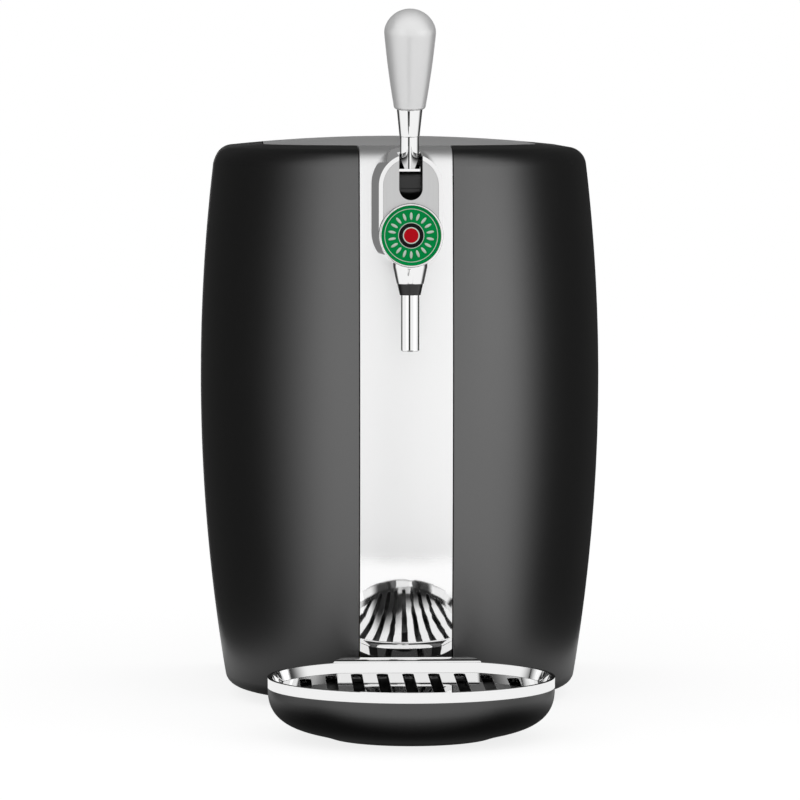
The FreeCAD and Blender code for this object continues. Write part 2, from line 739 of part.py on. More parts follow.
def top_deck(outer, inner):
    """The fixed rear part of the top, with the trough that the lid's rear edge turns in."""
    side, rear = "lid_radius", "mouth_rear_y - lid_gap"
    plan = horseshoe("deck_plan", side, rear, "trough_floor_z", "top_z * 1.1", "mouth_round - lid_gap")
    behind = box("deck_zone", ("-" + side, "trough_rear_y", "0"), (side, "rear_face", "top_z * 1.1"))
    plate = cut("deck_plate", overlap("deck_block", outer, plan, behind), inner)
    wall = overlap("trough_wall", outer,
                   box("trough_wall_zone", ("-" + side, "trough_rear_y", "trough_floor_z - casing_wall"),
                       (side, "trough_rear_y + casing_wall", "top_z * 1.1")))
    floor = box("trough_floor", ("-" + side, "lid_rear_y - casing_wall", "trough_floor_z - casing_wall"),
                (side, "trough_rear_y + casing_wall", "trough_floor_z"))
    ears = []
    for half in (-1, 1):
        near, far = between("%d * (hinge_half_span + joint_gap)" % half,
                            "%d * (hinge_half_span + joint_gap + ear_width)" % half)
        ears.append(rod("ear_head_%d" % (half + 1), "ear_radius", "ear_width",
                        (near, "hinge_y", "hinge_z"), ALONG_X))
        ears.append(box("ear_post_%d" % (half + 1),
                        (near, "hinge_y - ear_radius", "trough_floor_z - cut_over"),
                        (far, "hinge_y + ear_radius", "hinge_z")))
    bore = rod("ear_bore", "hinge_pin_radius", "hinge_half_span * 4",
               ("-hinge_half_span * 2", "hinge_y", "hinge_z"), ALONG_X)
    node(cut("deck_bored", fuse("deck", plate, wall, floor, *ears), bore), "top_deck")


# --- keg chamber ------------------------------------------------------------------------

LINE_HOLE = "line_radius + joint_gap"


def line_passage(name):
    """The way of the beer line, forward through the chamber's front."""
    return rod(name, LINE_HOLE, "cut_over - chassis_block_y", ("0", "0", "line_z"), BACKWARDS)


def chamber():
    outside = "liner_radius + liner_wall"
    cup = rod("liner_cup", outside, "liner_top_z - liner_floor_z + liner_wall",
              ("0", "0", "liner_floor_z - liner_wall"))
    flange = rod("liner_flange", "flange_radius", "flange_height", ("0", "0", "liner_top_z - flange_height"))
    hollow = rod("liner_hollow", "liner_radius", "liner_top_z", ("0", "0", "liner_floor_z"))
    node(cut("liner", fuse("liner_block", cup, flange), hollow, line_passage("liner_line_hole")),
         "chamber_liner")
    pad = rod("pad_disc", "pad_radius", "pad_height", ("0", "0", "liner_floor_z"))
    ring = tube("pad_groove", "pad_radius * 0.7", "pad_radius * 0.62", "pad_height",
                ("0", "0", "liner_floor_z + pad_height / 2"))
    node(cut("rest_pad", pad, ring), "keg_rest_pad")
    foot = "liner_floor_z - liner_wall"
    jacket = tube("foam_jacket", "foam_radius", outside + " + foam_gap",
                  "liner_top_z - flange_height - foam_gap - (%s)" % foot, ("0", "0", foot))
    rear = box("foam_rear_zone", ("-foam_radius", "foam_rear_y", "0"),
               ("foam_radius", "foam_radius", "top_z"))
    tap_room = box("foam_tap_zone", ("-snout_half", "-foam_radius", "snout_low_z"),
                   ("snout_half", "-foam_radius + cold_depth", "top_z"))
    node(cut("foam", jacket, rear, tap_room, line_passage("foam_line_hole")), "chamber_foam")


# --- cooling pack -----------------------------------------------------------------------

COLD_BACK = "liner_radius + liner_wall + cold_depth"
SINK_FRONT = COLD_BACK + " + peltier_depth"
FIN_ROOT = SINK_FRONT + " + sink_base_depth"
FAN_FRONT = FIN_ROOT + " + fin_depth + fan_gap"
FAN_REAR = FAN_FRONT + " + fan_depth"


def square(name, side, front, rear):
    """A square block about the cooling pack's middle."""
    half = "(%s) / 2" % side
    return box(name, ("-" + half, front, "cooler_z - " + half), (half, rear, "cooler_z + " + half))


def corners(half):
    for x in (-1, 1):
        for z in (-1, 1):
            yield "%d_%d" % (x + 1, z + 1), "%d * (%s)" % (x, half), "cooler_z + %d * (%s)" % (z, half)


def cooling():
    block = square("cold_block_square", "cold_side", "foam_rear_y - cold_depth", COLD_BACK)
    against = rod("liner_form", "liner_radius + liner_wall", "top_z", ("0", "0", "0"))
    base_plate = square("sink_base", "sink_side", SINK_FRONT, FIN_ROOT)
    fins = []
    for number in range(int(size_of("fin_count"))):
        x = "(sink_side - fin_thickness) * (%d / (fin_count - 1) - 1 / 2)" % number
        fins.append(box("fin_%d" % number,
                        (x + " - fin_thickness / 2", FIN_ROOT + " - cut_over", "cooler_z - sink_side / 2"),
                        (x + " + fin_thickness / 2", FIN_ROOT + " + fin_depth", "cooler_z + sink_side / 2")))
    bolts, bolt_holes, wells, fan_screws, fan_holes = [], [], [], [], []
    for side in (-1, 1):
        x = "%d * sink_screw_x" % side
        length = "sink_base_depth + peltier_depth + cold_depth / 2"
        bolts.append(screw("sink_bolt_%d" % (side + 1), x, FIN_ROOT, "cooler_z", length, BACKWARDS))
        bolt_holes.append(screw("bolt_hole_%d" % (side + 1), x, FIN_ROOT, "cooler_z", length, BACKWARDS))
        wells.append(rod("bolt_well_%d" % (side + 1), "screw_head_radius + joint_gap", "fin_depth * 2",
                         (x, FIN_ROOT, "cooler_z"), ALONG_Y))
    for tag, x, z in corners("fan_hole_half"):
        length = "fan_depth + fin_depth / 2"
        fan_screws.append(screw("fan_screw_" + tag, x, FAN_REAR, z, length, BACKWARDS))
        fan_holes.append(rod("fan_hole_" + tag, "screw_radius", length, (x, FAN_REAR, z), BACKWARDS))
    probe_at = ("cold_side / 2 - probe_length + probe_tail", "%s - cold_depth / 2" % COLD_BACK,
                "cooler_z + cold_side / 3")
    probe = rod("probe", "probe_radius", "probe_length", probe_at, ALONG_X)
    probe_hole = rod("probe_hole", "probe_radius", "probe_length", probe_at, ALONG_X)
    node(probe, "temperature_probe")
    node(cut("cold_plate", block, against, probe_hole, *bolt_holes), "cold_block")
    node(square("peltier", "peltier_side", COLD_BACK, SINK_FRONT), "peltier_module")
    node(cut("sink", fuse("sink_block", base_plate, *fins), *bolt_holes, *wells, *fan_holes), "heat_sink")
    node(group("sink_bolts", *bolts), "heat_sink_screws")
    node(group("fan_bolts", *fan_screws), "fan_screws")
    fan(fan_holes)


def fan(holes):
    middle = ("0", FAN_FRONT, "cooler_z")
    frame = cut("fan_shroud", square("fan_square", "fan_width", FAN_FRONT, FAN_REAR),
                rod("fan_throat", "fan_bore_radius", "fan_depth", middle, ALONG_Y))
    back = FAN_REAR + " - fan_back"
    disc = rod("fan_carrier", "fan_hub_radius", "fan_back", ("0", back, "cooler_z"), ALONG_Y)
    arm = "fan_back"
    arms = [box("fan_arm_across", ("-fan_width / 2", back, "cooler_z - " + arm),
                ("fan_width / 2", FAN_REAR, "cooler_z + " + arm)),
            box("fan_arm_upright", ("-" + arm, back, "cooler_z - fan_width / 2"),
                (arm, FAN_REAR, "cooler_z + fan_width / 2"))]
    spindle = rod("fan_spindle", "pin_radius - running_gap", "rotor_depth / 2",
                  ("0", back, "cooler_z"), BACKWARDS)
    node(cut("fan_housing", fuse("fan_body", frame, disc, spindle, *arms), *holes), "fan_frame")
    rotor_y = back + " - joint_gap"
    rotor_at = ("0", rotor_y, "cooler_z")
    hub = cut("rotor_hub", rod("rotor_cup", "fan_hub_radius", "rotor_depth", rotor_at, BACKWARDS),
              rod("rotor_bore", "pin_radius", "rotor_depth * 2 / 3 + joint_gap", rotor_at, BACKWARDS))
    blades = []
    for number in range(int(size_of("blade_count"))):
        turn = 360.0 * number / size_of("blade_count")
        blade = box("blade_%d" % number,
                    ("fan_hub_radius - cut_over", "-blade_thickness / 2", "-blade_width / 2"),
                    ("fan_bore_radius - blade_gap", "blade_thickness / 2", "blade_width / 2"))
        pitch = FreeCAD.Rotation(Z, turn) * FreeCAD.Rotation(X, size_of("blade_tilt"))
        blades.append(stand(group("blade_set_%d" % number, blade),
                            ("0", rotor_y + " - rotor_depth / 2", "cooler_z"), ALONG_Y * pitch))
    node(fuse("rotor", hub, *blades), "fan_rotor")


# --- mains parts ------------------------------------------------------------------------

PAN_TOP = "base_z + casing_wall + pan_gap + pan_floor"


def mains():
    plate = box("board_plate", ("-board_half_x", "board_low_y", "board_z"),
                ("board_half_x", "board_high_y", "board_z + board_thickness"))
    holes, spacers, screws = [], [], []
    for side in (-1, 1):
        for end, y in (("low", "board_low_y + board_hole_inset"),
                       ("high", "board_high_y - board_hole_inset")):
            tag = "%s_%d" % (end, side + 1)
            x = "%d * (board_half_x - board_hole_inset)" % side
            holes.append(rod("board_hole_" + tag, "screw_radius", "board_z", (x, y, "board_z - cut_over")))
            spacers.append(tube("spacer_" + tag, "spacer_radius", "screw_radius",
                                "board_z - (%s)" % PAN_TOP, (x, y, PAN_TOP)))
            top = "board_z + board_thickness"
            screws.append(screw("board_screw_" + tag, x, y, top, "%s - (%s)" % (top, PAN_TOP),
                                FreeCAD.Rotation(X, 180)))
    node(cut("board", plate, *holes), "power_board")
    node(group("spacers", *spacers), "board_spacers")
    node(group("board_screw_set", *screws), "board_screws")
    deck = "board_z + board_thickness"
    core = box("coil_core", ("-board_half_x * 0.7", "board_low_y * 0.6", deck),
               ("0", "board_high_y * 0.4", deck + " + coil_height"))
    wound = box("coil_winding", ("-board_half_x * 0.6", "board_low_y * 0.75", deck + " + coil_height * 0.2"),
                ("-board_half_x * 0.1", "board_high_y * 0.6", deck + " + coil_height * 0.8"))
    node(fuse("coil", core, wound), "board_transformer")
    cans = [rod("can_%d" % n, "can_radius", "can_height",
                ("board_half_x * 0.45", "board_low_y * 0.5 + %d * can_radius * 2.4" % n, deck))
            for n in range(3)]
    node(group("cans", *cans), "board_capacitors")
    switch()
    hole = rod("gland_bush", "gland_radius", "casing_wall * 2 + gland_flange",
               ("gland_x", "rear_face + gland_flange", "gland_z"), BACKWARDS)
    collar = rod("gland_collar", "gland_radius + gland_flange", "gland_flange",
                 ("gland_x", "rear_face + gland_flange", "gland_z"), BACKWARDS)
    bore = rod("gland_way", "gland_bore", "gland_radius * 4",
               ("gland_x", "rear_face + gland_flange + cut_over", "gland_z"), BACKWARDS)
    node(cut("gland", fuse("gland_body", hole, collar), bore), "cord_gland")


def switch_zone(name, grow, front, rear):
    low = ("switch_x - switch_half_x - (%s)" % grow, front, "switch_z - switch_half_z - (%s)" % grow)
    high = ("switch_x + switch_half_x + (%s)" % grow, rear, "switch_z + switch_half_z + (%s)" % grow)
    return box(name, low, high)


def switch():
    front = "rear_face - switch_depth"
    flange = switch_zone("switch_flange_block", "switch_lip", "rear_face", "rear_face + switch_flange")
    case = switch_zone("switch_case", "0", front, "rear_face + switch_flange")
    well = switch_zone("switch_well", "-switch_lip + joint_gap",
                       "rocker_y - rocker_radius - joint_gap", "rear_face * 2")
    at = ("switch_x - switch_half_x", "rocker_y", "switch_z")
    pin_hole = rod("switch_pin_hole", "rocker_pin_radius + running_gap", "switch_half_x * 2", at, ALONG_X)
    node(cut("switch_shell", fuse("switch_block", flange, case), well, pin_hole), "power_switch_body")
    half = "(switch_half_x - switch_lip)"
    turning = rod("rocker_round", "rocker_radius", half + " * 2",
                  ("switch_x - " + half, "rocker_y", "switch_z"), ALONG_X)
    reach = ("(rocker_radius * cos(rocker_lip_angle) + sqrt(rocker_dish_radius ^ 2 - "
             "(rocker_radius * sin(rocker_lip_angle)) ^ 2))")
    dish = rod("rocker_dish", "rocker_dish_radius", "switch_half_x * 2",
               ("switch_x - switch_half_x", "rocker_y + %s * cos(rocker_lean)" % reach,
                "switch_z - %s * sin(rocker_lean)" % reach), ALONG_X)
    pin = rod("rocker_pin", "rocker_pin_radius", "(switch_half_x - joint_gap) * 2",
              ("switch_x - switch_half_x + joint_gap", "rocker_y", "switch_z"), ALONG_X)
    node(fuse("rocker", cut("rocker_face", turning, dish), pin), "power_switch_rocker")


# --- tap --------------------------------------------------------------------------------

def chassis_screws():
    for side in (-1, 1):
        for end in ("low", "high"):
            yield ("%s_%d" % (end, side + 1), "%d * chassis_screw_x" % side, "chassis_screw_%s_y" % end,
                   "chassis_screw_%s_z" % end)


def stadium(body, name, grow, y):
    """The snout's upright outline with round ends, as a sketch at one depth."""
    half = "snout_half + (%s)" % grow
    low, high = "snout_low_z + snout_half", "snout_high_z - snout_half"
    points = [(half, low), (half, high), ("0", "snout_high_z + (%s)" % grow), ("-(%s)" % half, high),
              ("-(%s)" % half, low), ("0", "snout_low_z - (%s)" % grow)]
    return draw(body, "XZ_Plane", name, points, {1: half, 2: half, 4: half, 5: half}, lift="-(%s)" % y)


def snout(name, inset, back_y, front_y, flare="0"):
    """A block with the snout's form, a wall further in by inset and wider behind by flare."""
    body = doc.addObject("PartDesign::Body", name)
    front = stadium(body, name + "_front", "-(%s)" % inset, front_y)
    back = stadium(body, name + "_back", "%s - (%s)" % (flare, inset), back_y)
    loft = body.newObject("PartDesign::AdditiveLoft", name + "_loft")
    loft.Profile = front
    loft.Sections = [back]
    loft.Ruled = True
    return stand(body)


def slot(name, back_y):
    """The lever's slot: round at its foot and open at the top."""
    centre = "slot_foot_z + slot_half"
    front = "snout_front_y - cut_over"
    foot = rod(name + "_foot", "slot_half", "(%s) - (%s)" % (back_y, front), ("0", front, centre), ALONG_Y)
    way = box(name + "_way", ("-slot_half", front, centre), ("slot_half", back_y, "top_z * 1.1"))
    return fuse(name, foot, way)


def tap_body(outer):
    spout_way = rod("spout_way", "cone_top_radius + running_gap", "snout_half",
                    ("0", "spout_y", "snout_low_z - snout_half / 2"))
    hollow = snout("snout_hollow", "rim_width", "snout_back_y + cut_over", "snout_front_y - cut_over",
                   "snout_flare")
    top_way = "pivot_y + stem_radius + cheek_wall"
    outside = snout("snout_outside", "0", "snout_back_y", "snout_front_y", "snout_flare")
    node(cut("snout_shell", outside, hollow, slot("rim_slot", top_way), spout_way, outer), "tap_housing")
    face_front = "snout_front_y + face_set_back"
    plate = snout("face_block", "rim_width + running_gap", face_front + " + face_depth", face_front)
    node(cut("face", plate, slot("face_slot", "chassis_block_y"), spout_way), "tap_face_plate")
    inner = "hub_half + cheek_gap"
    wide = inner + " + cheek_wall"
    nose = "pivot_y - hub_radius - cheek_gap * 2"
    channel = box("channel", ("-(%s)" % wide, nose, "chassis_floor_z"),
                  (wide, "snout_back_y", "pivot_z + cheek_top"))
    ahead = nose + " - cut_over"
    groove = box("channel_groove", ("-(%s)" % inner, ahead, "shelf_z + shelf_height"),
                 (inner, "pivot_y + hub_radius + cheek_gap * 2", "top_z"))
    line_room = box("channel_line_room", ("-(%s)" % inner, ahead, "chassis_floor_z + cheek_wall"),
                    (inner, "chassis_block_y", "shelf_z"))
    bend_room = box("channel_bend_room", ("-(%s)" % inner, ahead, "chassis_floor_z - cut_over"),
                    (inner, "spout_y + line_bend - line_radius", "line_z"))
    block = snout("chassis_block", "rim_width + running_gap", "snout_back_y", "chassis_block_y")
    pin_bore = rod("chassis_pin_bore", "pin_radius", "snout_half * 2",
                   ("-snout_half", "pivot_y", "pivot_z"), ALONG_X)
    plunger_bore = rod("shelf_bore", "plunger_stem_radius + running_gap", "shelf_height * 2",
                       ("0", "pivot_y", "shelf_z - shelf_height / 2"))
    holes = [rod("chassis_hole_" + tag, "screw_radius", "cold_depth", (x, y, z), BACKWARDS)
             for tag, x, y, z in chassis_screws()]
    rooms = [groove, line_room, bend_room, pin_bore, plunger_bore, line_passage("chassis_line_hole")]
    node(cut("chassis", fuse("chassis_body", channel, block), *rooms, outer, *holes), "tap_chassis")
    screws = [screw("chassis_screw_" + tag, x, y, z, "cold_depth", BACKWARDS)
              for tag, x, y, z in chassis_screws()]
    node(group("chassis_screw_set", *screws), "tap_mount_screws")
    node(rod("pivot_pin", "pin_radius", "(%s) * 2" % wide, ("-(%s)" % wide, "pivot_y", "pivot_z"), ALONG_X),
         "lever_pivot_pin")


def badge():
    """A bright ring with a slightly domed plain disc, on the face plate."""
    inner = "badge_radius - badge_ring"
    lip = "badge_ring / 2"
    ring = turned("badge_ring_body",
                  [(inner, "0"), ("badge_radius", "0"), ("badge_radius", "badge_height - " + lip),
                   ("badge_radius - " + lip, "badge_height"), (inner, "badge_height")],
                  {2: lip}, ("0", "snout_front_y", "badge_z"), BACKWARDS)
    node(ring, "badge_bezel")
    edge = "badge_height - badge_ring - disc_dome"
    curve = "(((%s)^2 + disc_dome^2) / (2 * disc_dome))" % inner
    disc = turned("badge_disc_body", [("0", "0"), (inner, "0"), (inner, edge), ("0", edge + " + disc_dome")],
                  {2: curve}, ("0", "snout_front_y", "badge_z"), BACKWARDS)
    node(disc, "badge_disc")


def on_lever(item, name):
    """Stands a piece drawn upright about the pivot on the leaning lever."""
    stand(item, ("0", "pivot_y", "pivot_z"), FreeCAD.Rotation(X, size_of("lever_lean")))
    bind(item, "Placement.Rotation.Angle", "lever_lean")
    return node(item, name)


def lever():
    upper = box("hub_upper", ("-hub_half", "-hub_radius", "hub_flat / 4"),
                ("hub_half", "hub_radius", "hub_flat"))
    wheel = rod("hub_round", "hub_radius", "hub_half * 2", ("-hub_half", "0", "0"), ALONG_X)
    round_top = overlap("hub_top", wheel, upper)
    low = rod("hub_low", "hub_low_radius", "hub_half * 2", ("-hub_half", "0", "0"), ALONG_X)
    lobe = box("hub_lobe", ("-plunger_half", "-lobe_half", "-hub_radius"),
               ("plunger_half", "lobe_half", "-hub_low_radius / 2"))
    bore = rod("hub_bore", "pin_radius + running_gap", "hub_half * 4", ("-hub_half * 2", "0", "0"), ALONG_X)
    lobe_leaned = stand(group("lobe_turned", lobe), turn=FreeCAD.Rotation(X * -1, size_of("lever_lean")))
    bind(lobe_leaned, "Placement.Rotation.Angle", "lever_lean")
    on_lever(cut("hub", fuse("hub_body", round_top, low, lobe_leaned), bore), "lever_hub")
    plate_top = "hub_flat + stem_plate"
    plate = box("stem_plate_block", ("-hub_half", "-stem_plate_half", "hub_flat"),
                ("hub_half", "stem_plate_half", plate_top))
    shaft = rod("stem_shaft", "stem_radius", "stem_top - (%s)" % plate_top, ("0", "0", plate_top))
    facets = []
    for side in (-1, 1):
        points = [("%d * stem_foot_half" % side, plate_top), ("%d * stem_radius * 2" % side, plate_top),
                  ("%d * stem_radius * 2" % side, plate_top + " + stem_foot_height * 2"),
                  ("%d * stem_radius" % side, plate_top + " + stem_foot_height")]
        facets.append(padded("facet_%d" % (side + 1), "XZ_Plane", points, "stem_radius * 4",
                             lift="-stem_radius * 2"))
    tang = rod("stem_tang", "stem_radius / 2", "knob_length / 2", ("0", "0", "stem_top"))
    on_lever(fuse("stem", plate, cut("stem_milled", shaft, *facets), tang), "lever_stem")
    ferrule = turned("ferrule_body", [("stem_radius / 2 + running_gap", "0"), ("ferrule_foot_radius", "0"),
                                      ("ferrule_top_radius", "ferrule_length"),
                                      ("stem_radius / 2 + running_gap", "ferrule_length")])
    on_lever(group("ferrule_set", stand(ferrule, ("0", "0", "stem_top"))), "lever_ferrule")
    knob()


def eased(body, height, radius, bend):
    """Rounds a turned body's edge of the given height and radius."""
    doc.recompute()
    turning = body.Tip
    level, reach = size_of(height), size_of(radius)
    rim = ["Edge%d" % n for n, edge in enumerate(turning.Shape.Edges, 1)
           if max(abs(edge.BoundBox.ZMin - level), abs(edge.BoundBox.ZMax - level),
                  abs(edge.BoundBox.XMax - reach)) < 0.01]
    easing = body.newObject("PartDesign::Fillet", body.Name + "_easing")
    easing.Base = (turning, rim)
    bind(easing, "Radius", bend)
    return body


def knob():
    """A pear-shaped grip: a narrow foot, long flanks and a round crown."""
    crown = "knob_length - knob_shoulder"
    crown_bend = "(((knob_radius)^2 + (%s)^2) / (2 * (%s)))" % (crown, crown)
    bore = "stem_radius / 2 + running_gap"
    depth = "knob_length / 2"
    points = [(bore, "0"), ("knob_foot_radius - knob_foot_round", "0"),
              ("knob_foot_radius", "knob_foot_round"), ("knob_radius", "knob_shoulder"),
              ("0", "knob_length"), ("0", depth), (bore, depth)]
    body = turned("knob_body", points, {1: "knob_foot_round", 2: "knob_flank_radius", 3: crown_bend})
    eased(body, "knob_shoulder", "knob_radius", "knob_shoulder_round")
    on_lever(group("knob_set", stand(body, ("0", "0", "stem_top + ferrule_length"))), "lever_knob")


def valve():
    """The plunger under the hub that pinches the beer line, its shelf spring and the line."""
    top = "pivot_z - hub_radius - plunger_gap"
    head = box("plunger_block", ("-plunger_half_x", "pivot_y - plunger_half", top + " - plunger_head"),
               ("plunger_half_x", "pivot_y + plunger_half", top))
    foot_z = "line_z + line_radius + joint_gap"
    foot = rod("plunger_foot", "plunger_stem_radius", top + " - (%s)" % foot_z, ("0", "pivot_y", foot_z))
    node(fuse("plunger", head, foot), "pinch_plunger")
    node(spring(top + " - plunger_head"), "pinch_spring")
    turn_y = "spout_y + line_bend"
    run, fall = "line_start_y - (%s)" % turn_y, "line_z - line_bend - line_end_z"
    start, end = ("0", "line_start_y", "line_z"), ("0", "spout_y", "line_end_z")
    straight = rod("line_run", "line_radius", run, start, BACKWARDS)
    drop = rod("line_drop", "line_radius", fall, end)
    inner_run = rod("line_run_bore", "line_bore", run, start, BACKWARDS)
    inner_drop = rod("line_drop_bore", "line_bore", fall, end)
    bends = []
    for name, radius in (("line_bend_outer", "line_radius"), ("line_bend_bore", "line_bore")):
        quarter = make("Part::Torus", name, {"Radius1": "line_bend", "Radius2": radius},
                       ("0", turn_y, "line_z - line_bend"), FreeCAD.Rotation(Z, Y * -1, X, "ZXY"))
        quarter.Angle3 = 90
        bends.append(quarter)
    outside = fuse("line_outside", straight, bends[0], drop)
    node(cut("line", outside, inner_run, bends[1], inner_drop), "beer_line")
    at = ("0", "line_start_y", "line_z - coupler_height / 2")
    body = rod("coupler_body", "coupler_radius", "coupler_height", at)
    bore = rod("coupler_bore_way", "coupler_bore", "coupler_height / 2", at)
    seat = rod("coupler_line_seat", "line_radius", "coupler_radius * 2", start, BACKWARDS)
    node(cut("coupler", body, bore, seat), "keg_coupler")


def spring(top):
    """A few turns of wire between the shelf and the plunger's head."""
    foot = "shelf_z + shelf_height + coil_wire"
    rise = "(%s) - coil_wire - (%s)" % (top, foot)
    winding = {"Radius": "coil_radius", "Height": rise, "Pitch": "(%s) / coil_turns" % rise}
    helix = make("Part::Helix", "coil_way", winding, ("0", "pivot_y", foot))
    wire = make("Part::RegularPolygon", "coil_section", {"Circumradius": "coil_wire"},
                ("coil_radius", "pivot_y", foot), FreeCAD.Rotation(X, 90))
    wire.Polygon = int(size_of("coil_sides"))
    coil = doc.addObject("Part::Sweep", "coil")
    coil.Sections = [wire]
    doc.recompute()
    coil.Spine = (helix, ["Edge%d" % n for n in range(1, len(helix.Shape.Edges) + 1)])
    coil.Solid = True
    coil.Frenet = True
    return coil


def spout():
    at = ("0", "spout_y", "0")
    line_way = "line_radius + joint_gap"
    cone_part = turned("cone_body", [(line_way, "cone_foot_z"), ("cone_foot_radius", "cone_foot_z"),
                                     ("cone_top_radius", "cone_top_z"), ("cone_top_radius", "spout_top_z"),
                                     (line_way, "spout_top_z")], at=at)
    node(cone_part, "spout_cone")
    collar = turned("collar_body",
                    [("tube_radius", "collar_foot_z"), ("collar_foot_radius", "collar_foot_z"),
                     ("collar_top_radius", "cone_foot_z"), ("tube_radius", "cone_foot_z")], at=at)
    node(collar, "spout_collar")
    pipe = turned("spout_pipe",
                  [("tube_bore", "tube_foot_z"), ("tube_radius - tube_round", "tube_foot_z"),
                   ("tube_radius", "tube_foot_z + tube_round"), ("tube_radius", "cone_foot_z"),
                   ("tube_bore", "cone_foot_z")], {1: "tube_round"}, at=at)
    node(pipe, "spout_tube")


# --- drip tray --------------------------------------------------------------------------

HULL_LEVELS = (0.0, 0.3, 0.55, 0.75, 0.9)   # share of the way from the rim down to the floor


def ellipse(name, half_x, half_y, z):
    return make("Part::Ellipse", name, {"MajorRadius": half_x, "MinorRadius": half_y},
                ("0", "tray_centre_y", z))


def hull(name, inset):
    """The tray's boat-like form, or the form a wall further in."""
    rings = []
    floor = "(tray_floor_z + %s)" % inset
    for number, level in enumerate(HULL_LEVELS):
        share = "(1 - %s^hull_power)^(1 / hull_power)" % level
        rings.append(ellipse("%s_ring_%d" % (name, number), "(tray_half - %s) * %s" % (inset, share),
                             "(tray_reach - %s) * %s" % (inset, share),
                             "tray_rim_z - (tray_rim_z - %s) * %s" % (floor, level)))
    rings.append(ellipse(name + "_floor", "(tray_half - %s) * hull_flat" % inset,
                         "(tray_reach - %s) * hull_flat" % inset, floor))
    loft = doc.addObject("Part::Loft", name)
    loft.Sections = rings
    loft.Solid = True
    return loft


def oval(name, inset, low, high):
    """An upright block with the rim's oval plan, moved in by inset."""
    outline = ellipse(name + "_outline", "tray_half - (%s)" % inset, "tray_reach - (%s)" % inset, low)
    block = doc.addObject("Part::Extrusion", name)
    block.Base = outline
    block.DirMode = "Custom"
    block.Dir = Z
    block.Solid = True
    bind(block, "LengthFwd", "(%s) - (%s)" % (high, low))
    return block


def before(name, y, low, high):
    """The zone in front of a depth, between two heights."""
    return box(name, ("-tray_half * 2", "tray_centre_y - tray_reach * 2", low), ("tray_half * 2", y, high))


def dish(low, high):
    """The sloping oval hollow of the rim, wider at the top than at the foot."""
    rise = "((%s) - (%s))" % (high, low)
    loft = doc.addObject("Part::Loft", "dish")
    loft.Sections = [ellipse("dish_" + end, "tray_half - (%s)" % inset, "tray_reach - (%s)" % inset, z)
                     for end, inset, z in (("foot", "band_wall + dish_slope * 2", "%s - %s" % (low, rise)),
                                           ("head", "band_wall - dish_slope", "%s + %s" % (high, rise)))]
    loft.Solid = True
    loft.Ruled = True
    return loft


def rim_back(rear, low, high):
    """The rim's straight back, which slopes like the dish, under a round lip."""
    wedge = padded("back_wedge", "YZ_Plane",
                   [(rear, low), (rear, high), (rear + " - lip_depth", high),
                    (rear + " - lip_depth - dish_slope", low)], "tray_half * 2", lift="-tray_half")
    lip = rod("lip_rod", "lip_radius", "tray_half * 2",
              ("-tray_half", rear + " - lip_radius", "tray_rim_z - lip_sink"), ALONG_X)
    above = high + " + lip_radius"
    return [overlap("back_%d" % number, part, oval("back_oval_%d" % number, "joint_gap", low, above))
            for number, part in enumerate((wedge, lip))]


def tray():
    band_foot = "tray_rim_z - band_height"
    rear = "tray_rear_y"
    band = overlap("band_block", hull("band_hull", "0"), before("band_zone", rear, band_foot, "tray_rim_z"))
    sloped = cut("band", band, dish(band_foot, "tray_rim_z"))
    node(fuse("rim", sloped, *rim_back(rear, band_foot, "tray_rim_z")), "tray_rim")
    bowl = overlap("bowl_block", hull("bowl_hull", "0"), before("bowl_zone", rear, "0", band_foot))
    hollow = overlap("bowl_inside", hull("bowl_hollow", "tray_wall"),
                     before("bowl_inside_zone", rear + " - tray_wall", "0", "tray_rim_z"))
    ledge_top = band_foot + " - grille_height - grille_lift"
    ledge_low = ledge_top + " - ledge_height"
    ledge_inset = "tray_wall + ledge_width"
    ledge = cut("ledge", overlap("ledge_block", oval("ledge_oval", "tray_wall", ledge_low, ledge_top),
                                 before("ledge_zone", rear + " - tray_wall / 2", ledge_low, ledge_top)),
                overlap("ledge_inside", oval("ledge_hollow", ledge_inset, "tray_floor_z", "tray_rim_z"),
                        before("ledge_inside_zone", "%s - lip_depth - (%s)" % (rear, ledge_inset),
                               "0", "tray_rim_z")))
    covers, ways, rails = [], [], []
    room = "(rail_half + joint_gap)"
    nose = "rail_front_y - joint_gap"
    roof = "base_z + joint_gap"
    for side in (-1, 1):
        x, number = "%d * rail_x" % side, side + 1
        covers.append(box("channel_cover_%d" % number,
                          (x + " - %s - tray_wall" % room, nose + " - tray_wall", "0"),
                          (x + " + %s + tray_wall" % room, rear, roof + " + tray_wall")))
        ways.append(box("channel_way_%d" % number, (x + " - " + room, nose, "-cut_over"),
                        (x + " + " + room, rear, roof)))
        rails.append(box("rail_%d" % number, (x + " - rail_half", "rail_front_y", "base_z - rail_height"),
                         (x + " + rail_half", "rail_rear_y", "base_z")))
    lining = overlap("channel_lining", hull("channel_hull", "0"), group("channel_covers", *covers))
    node(cut("bowl", fuse("bowl_body", cut("bowl_shell", bowl, hollow), ledge, lining), *ways), "tray_shell")
    grille(ledge_top + " + grille_lift", band_foot)
    node(group("rails", *rails), "tray_rails")


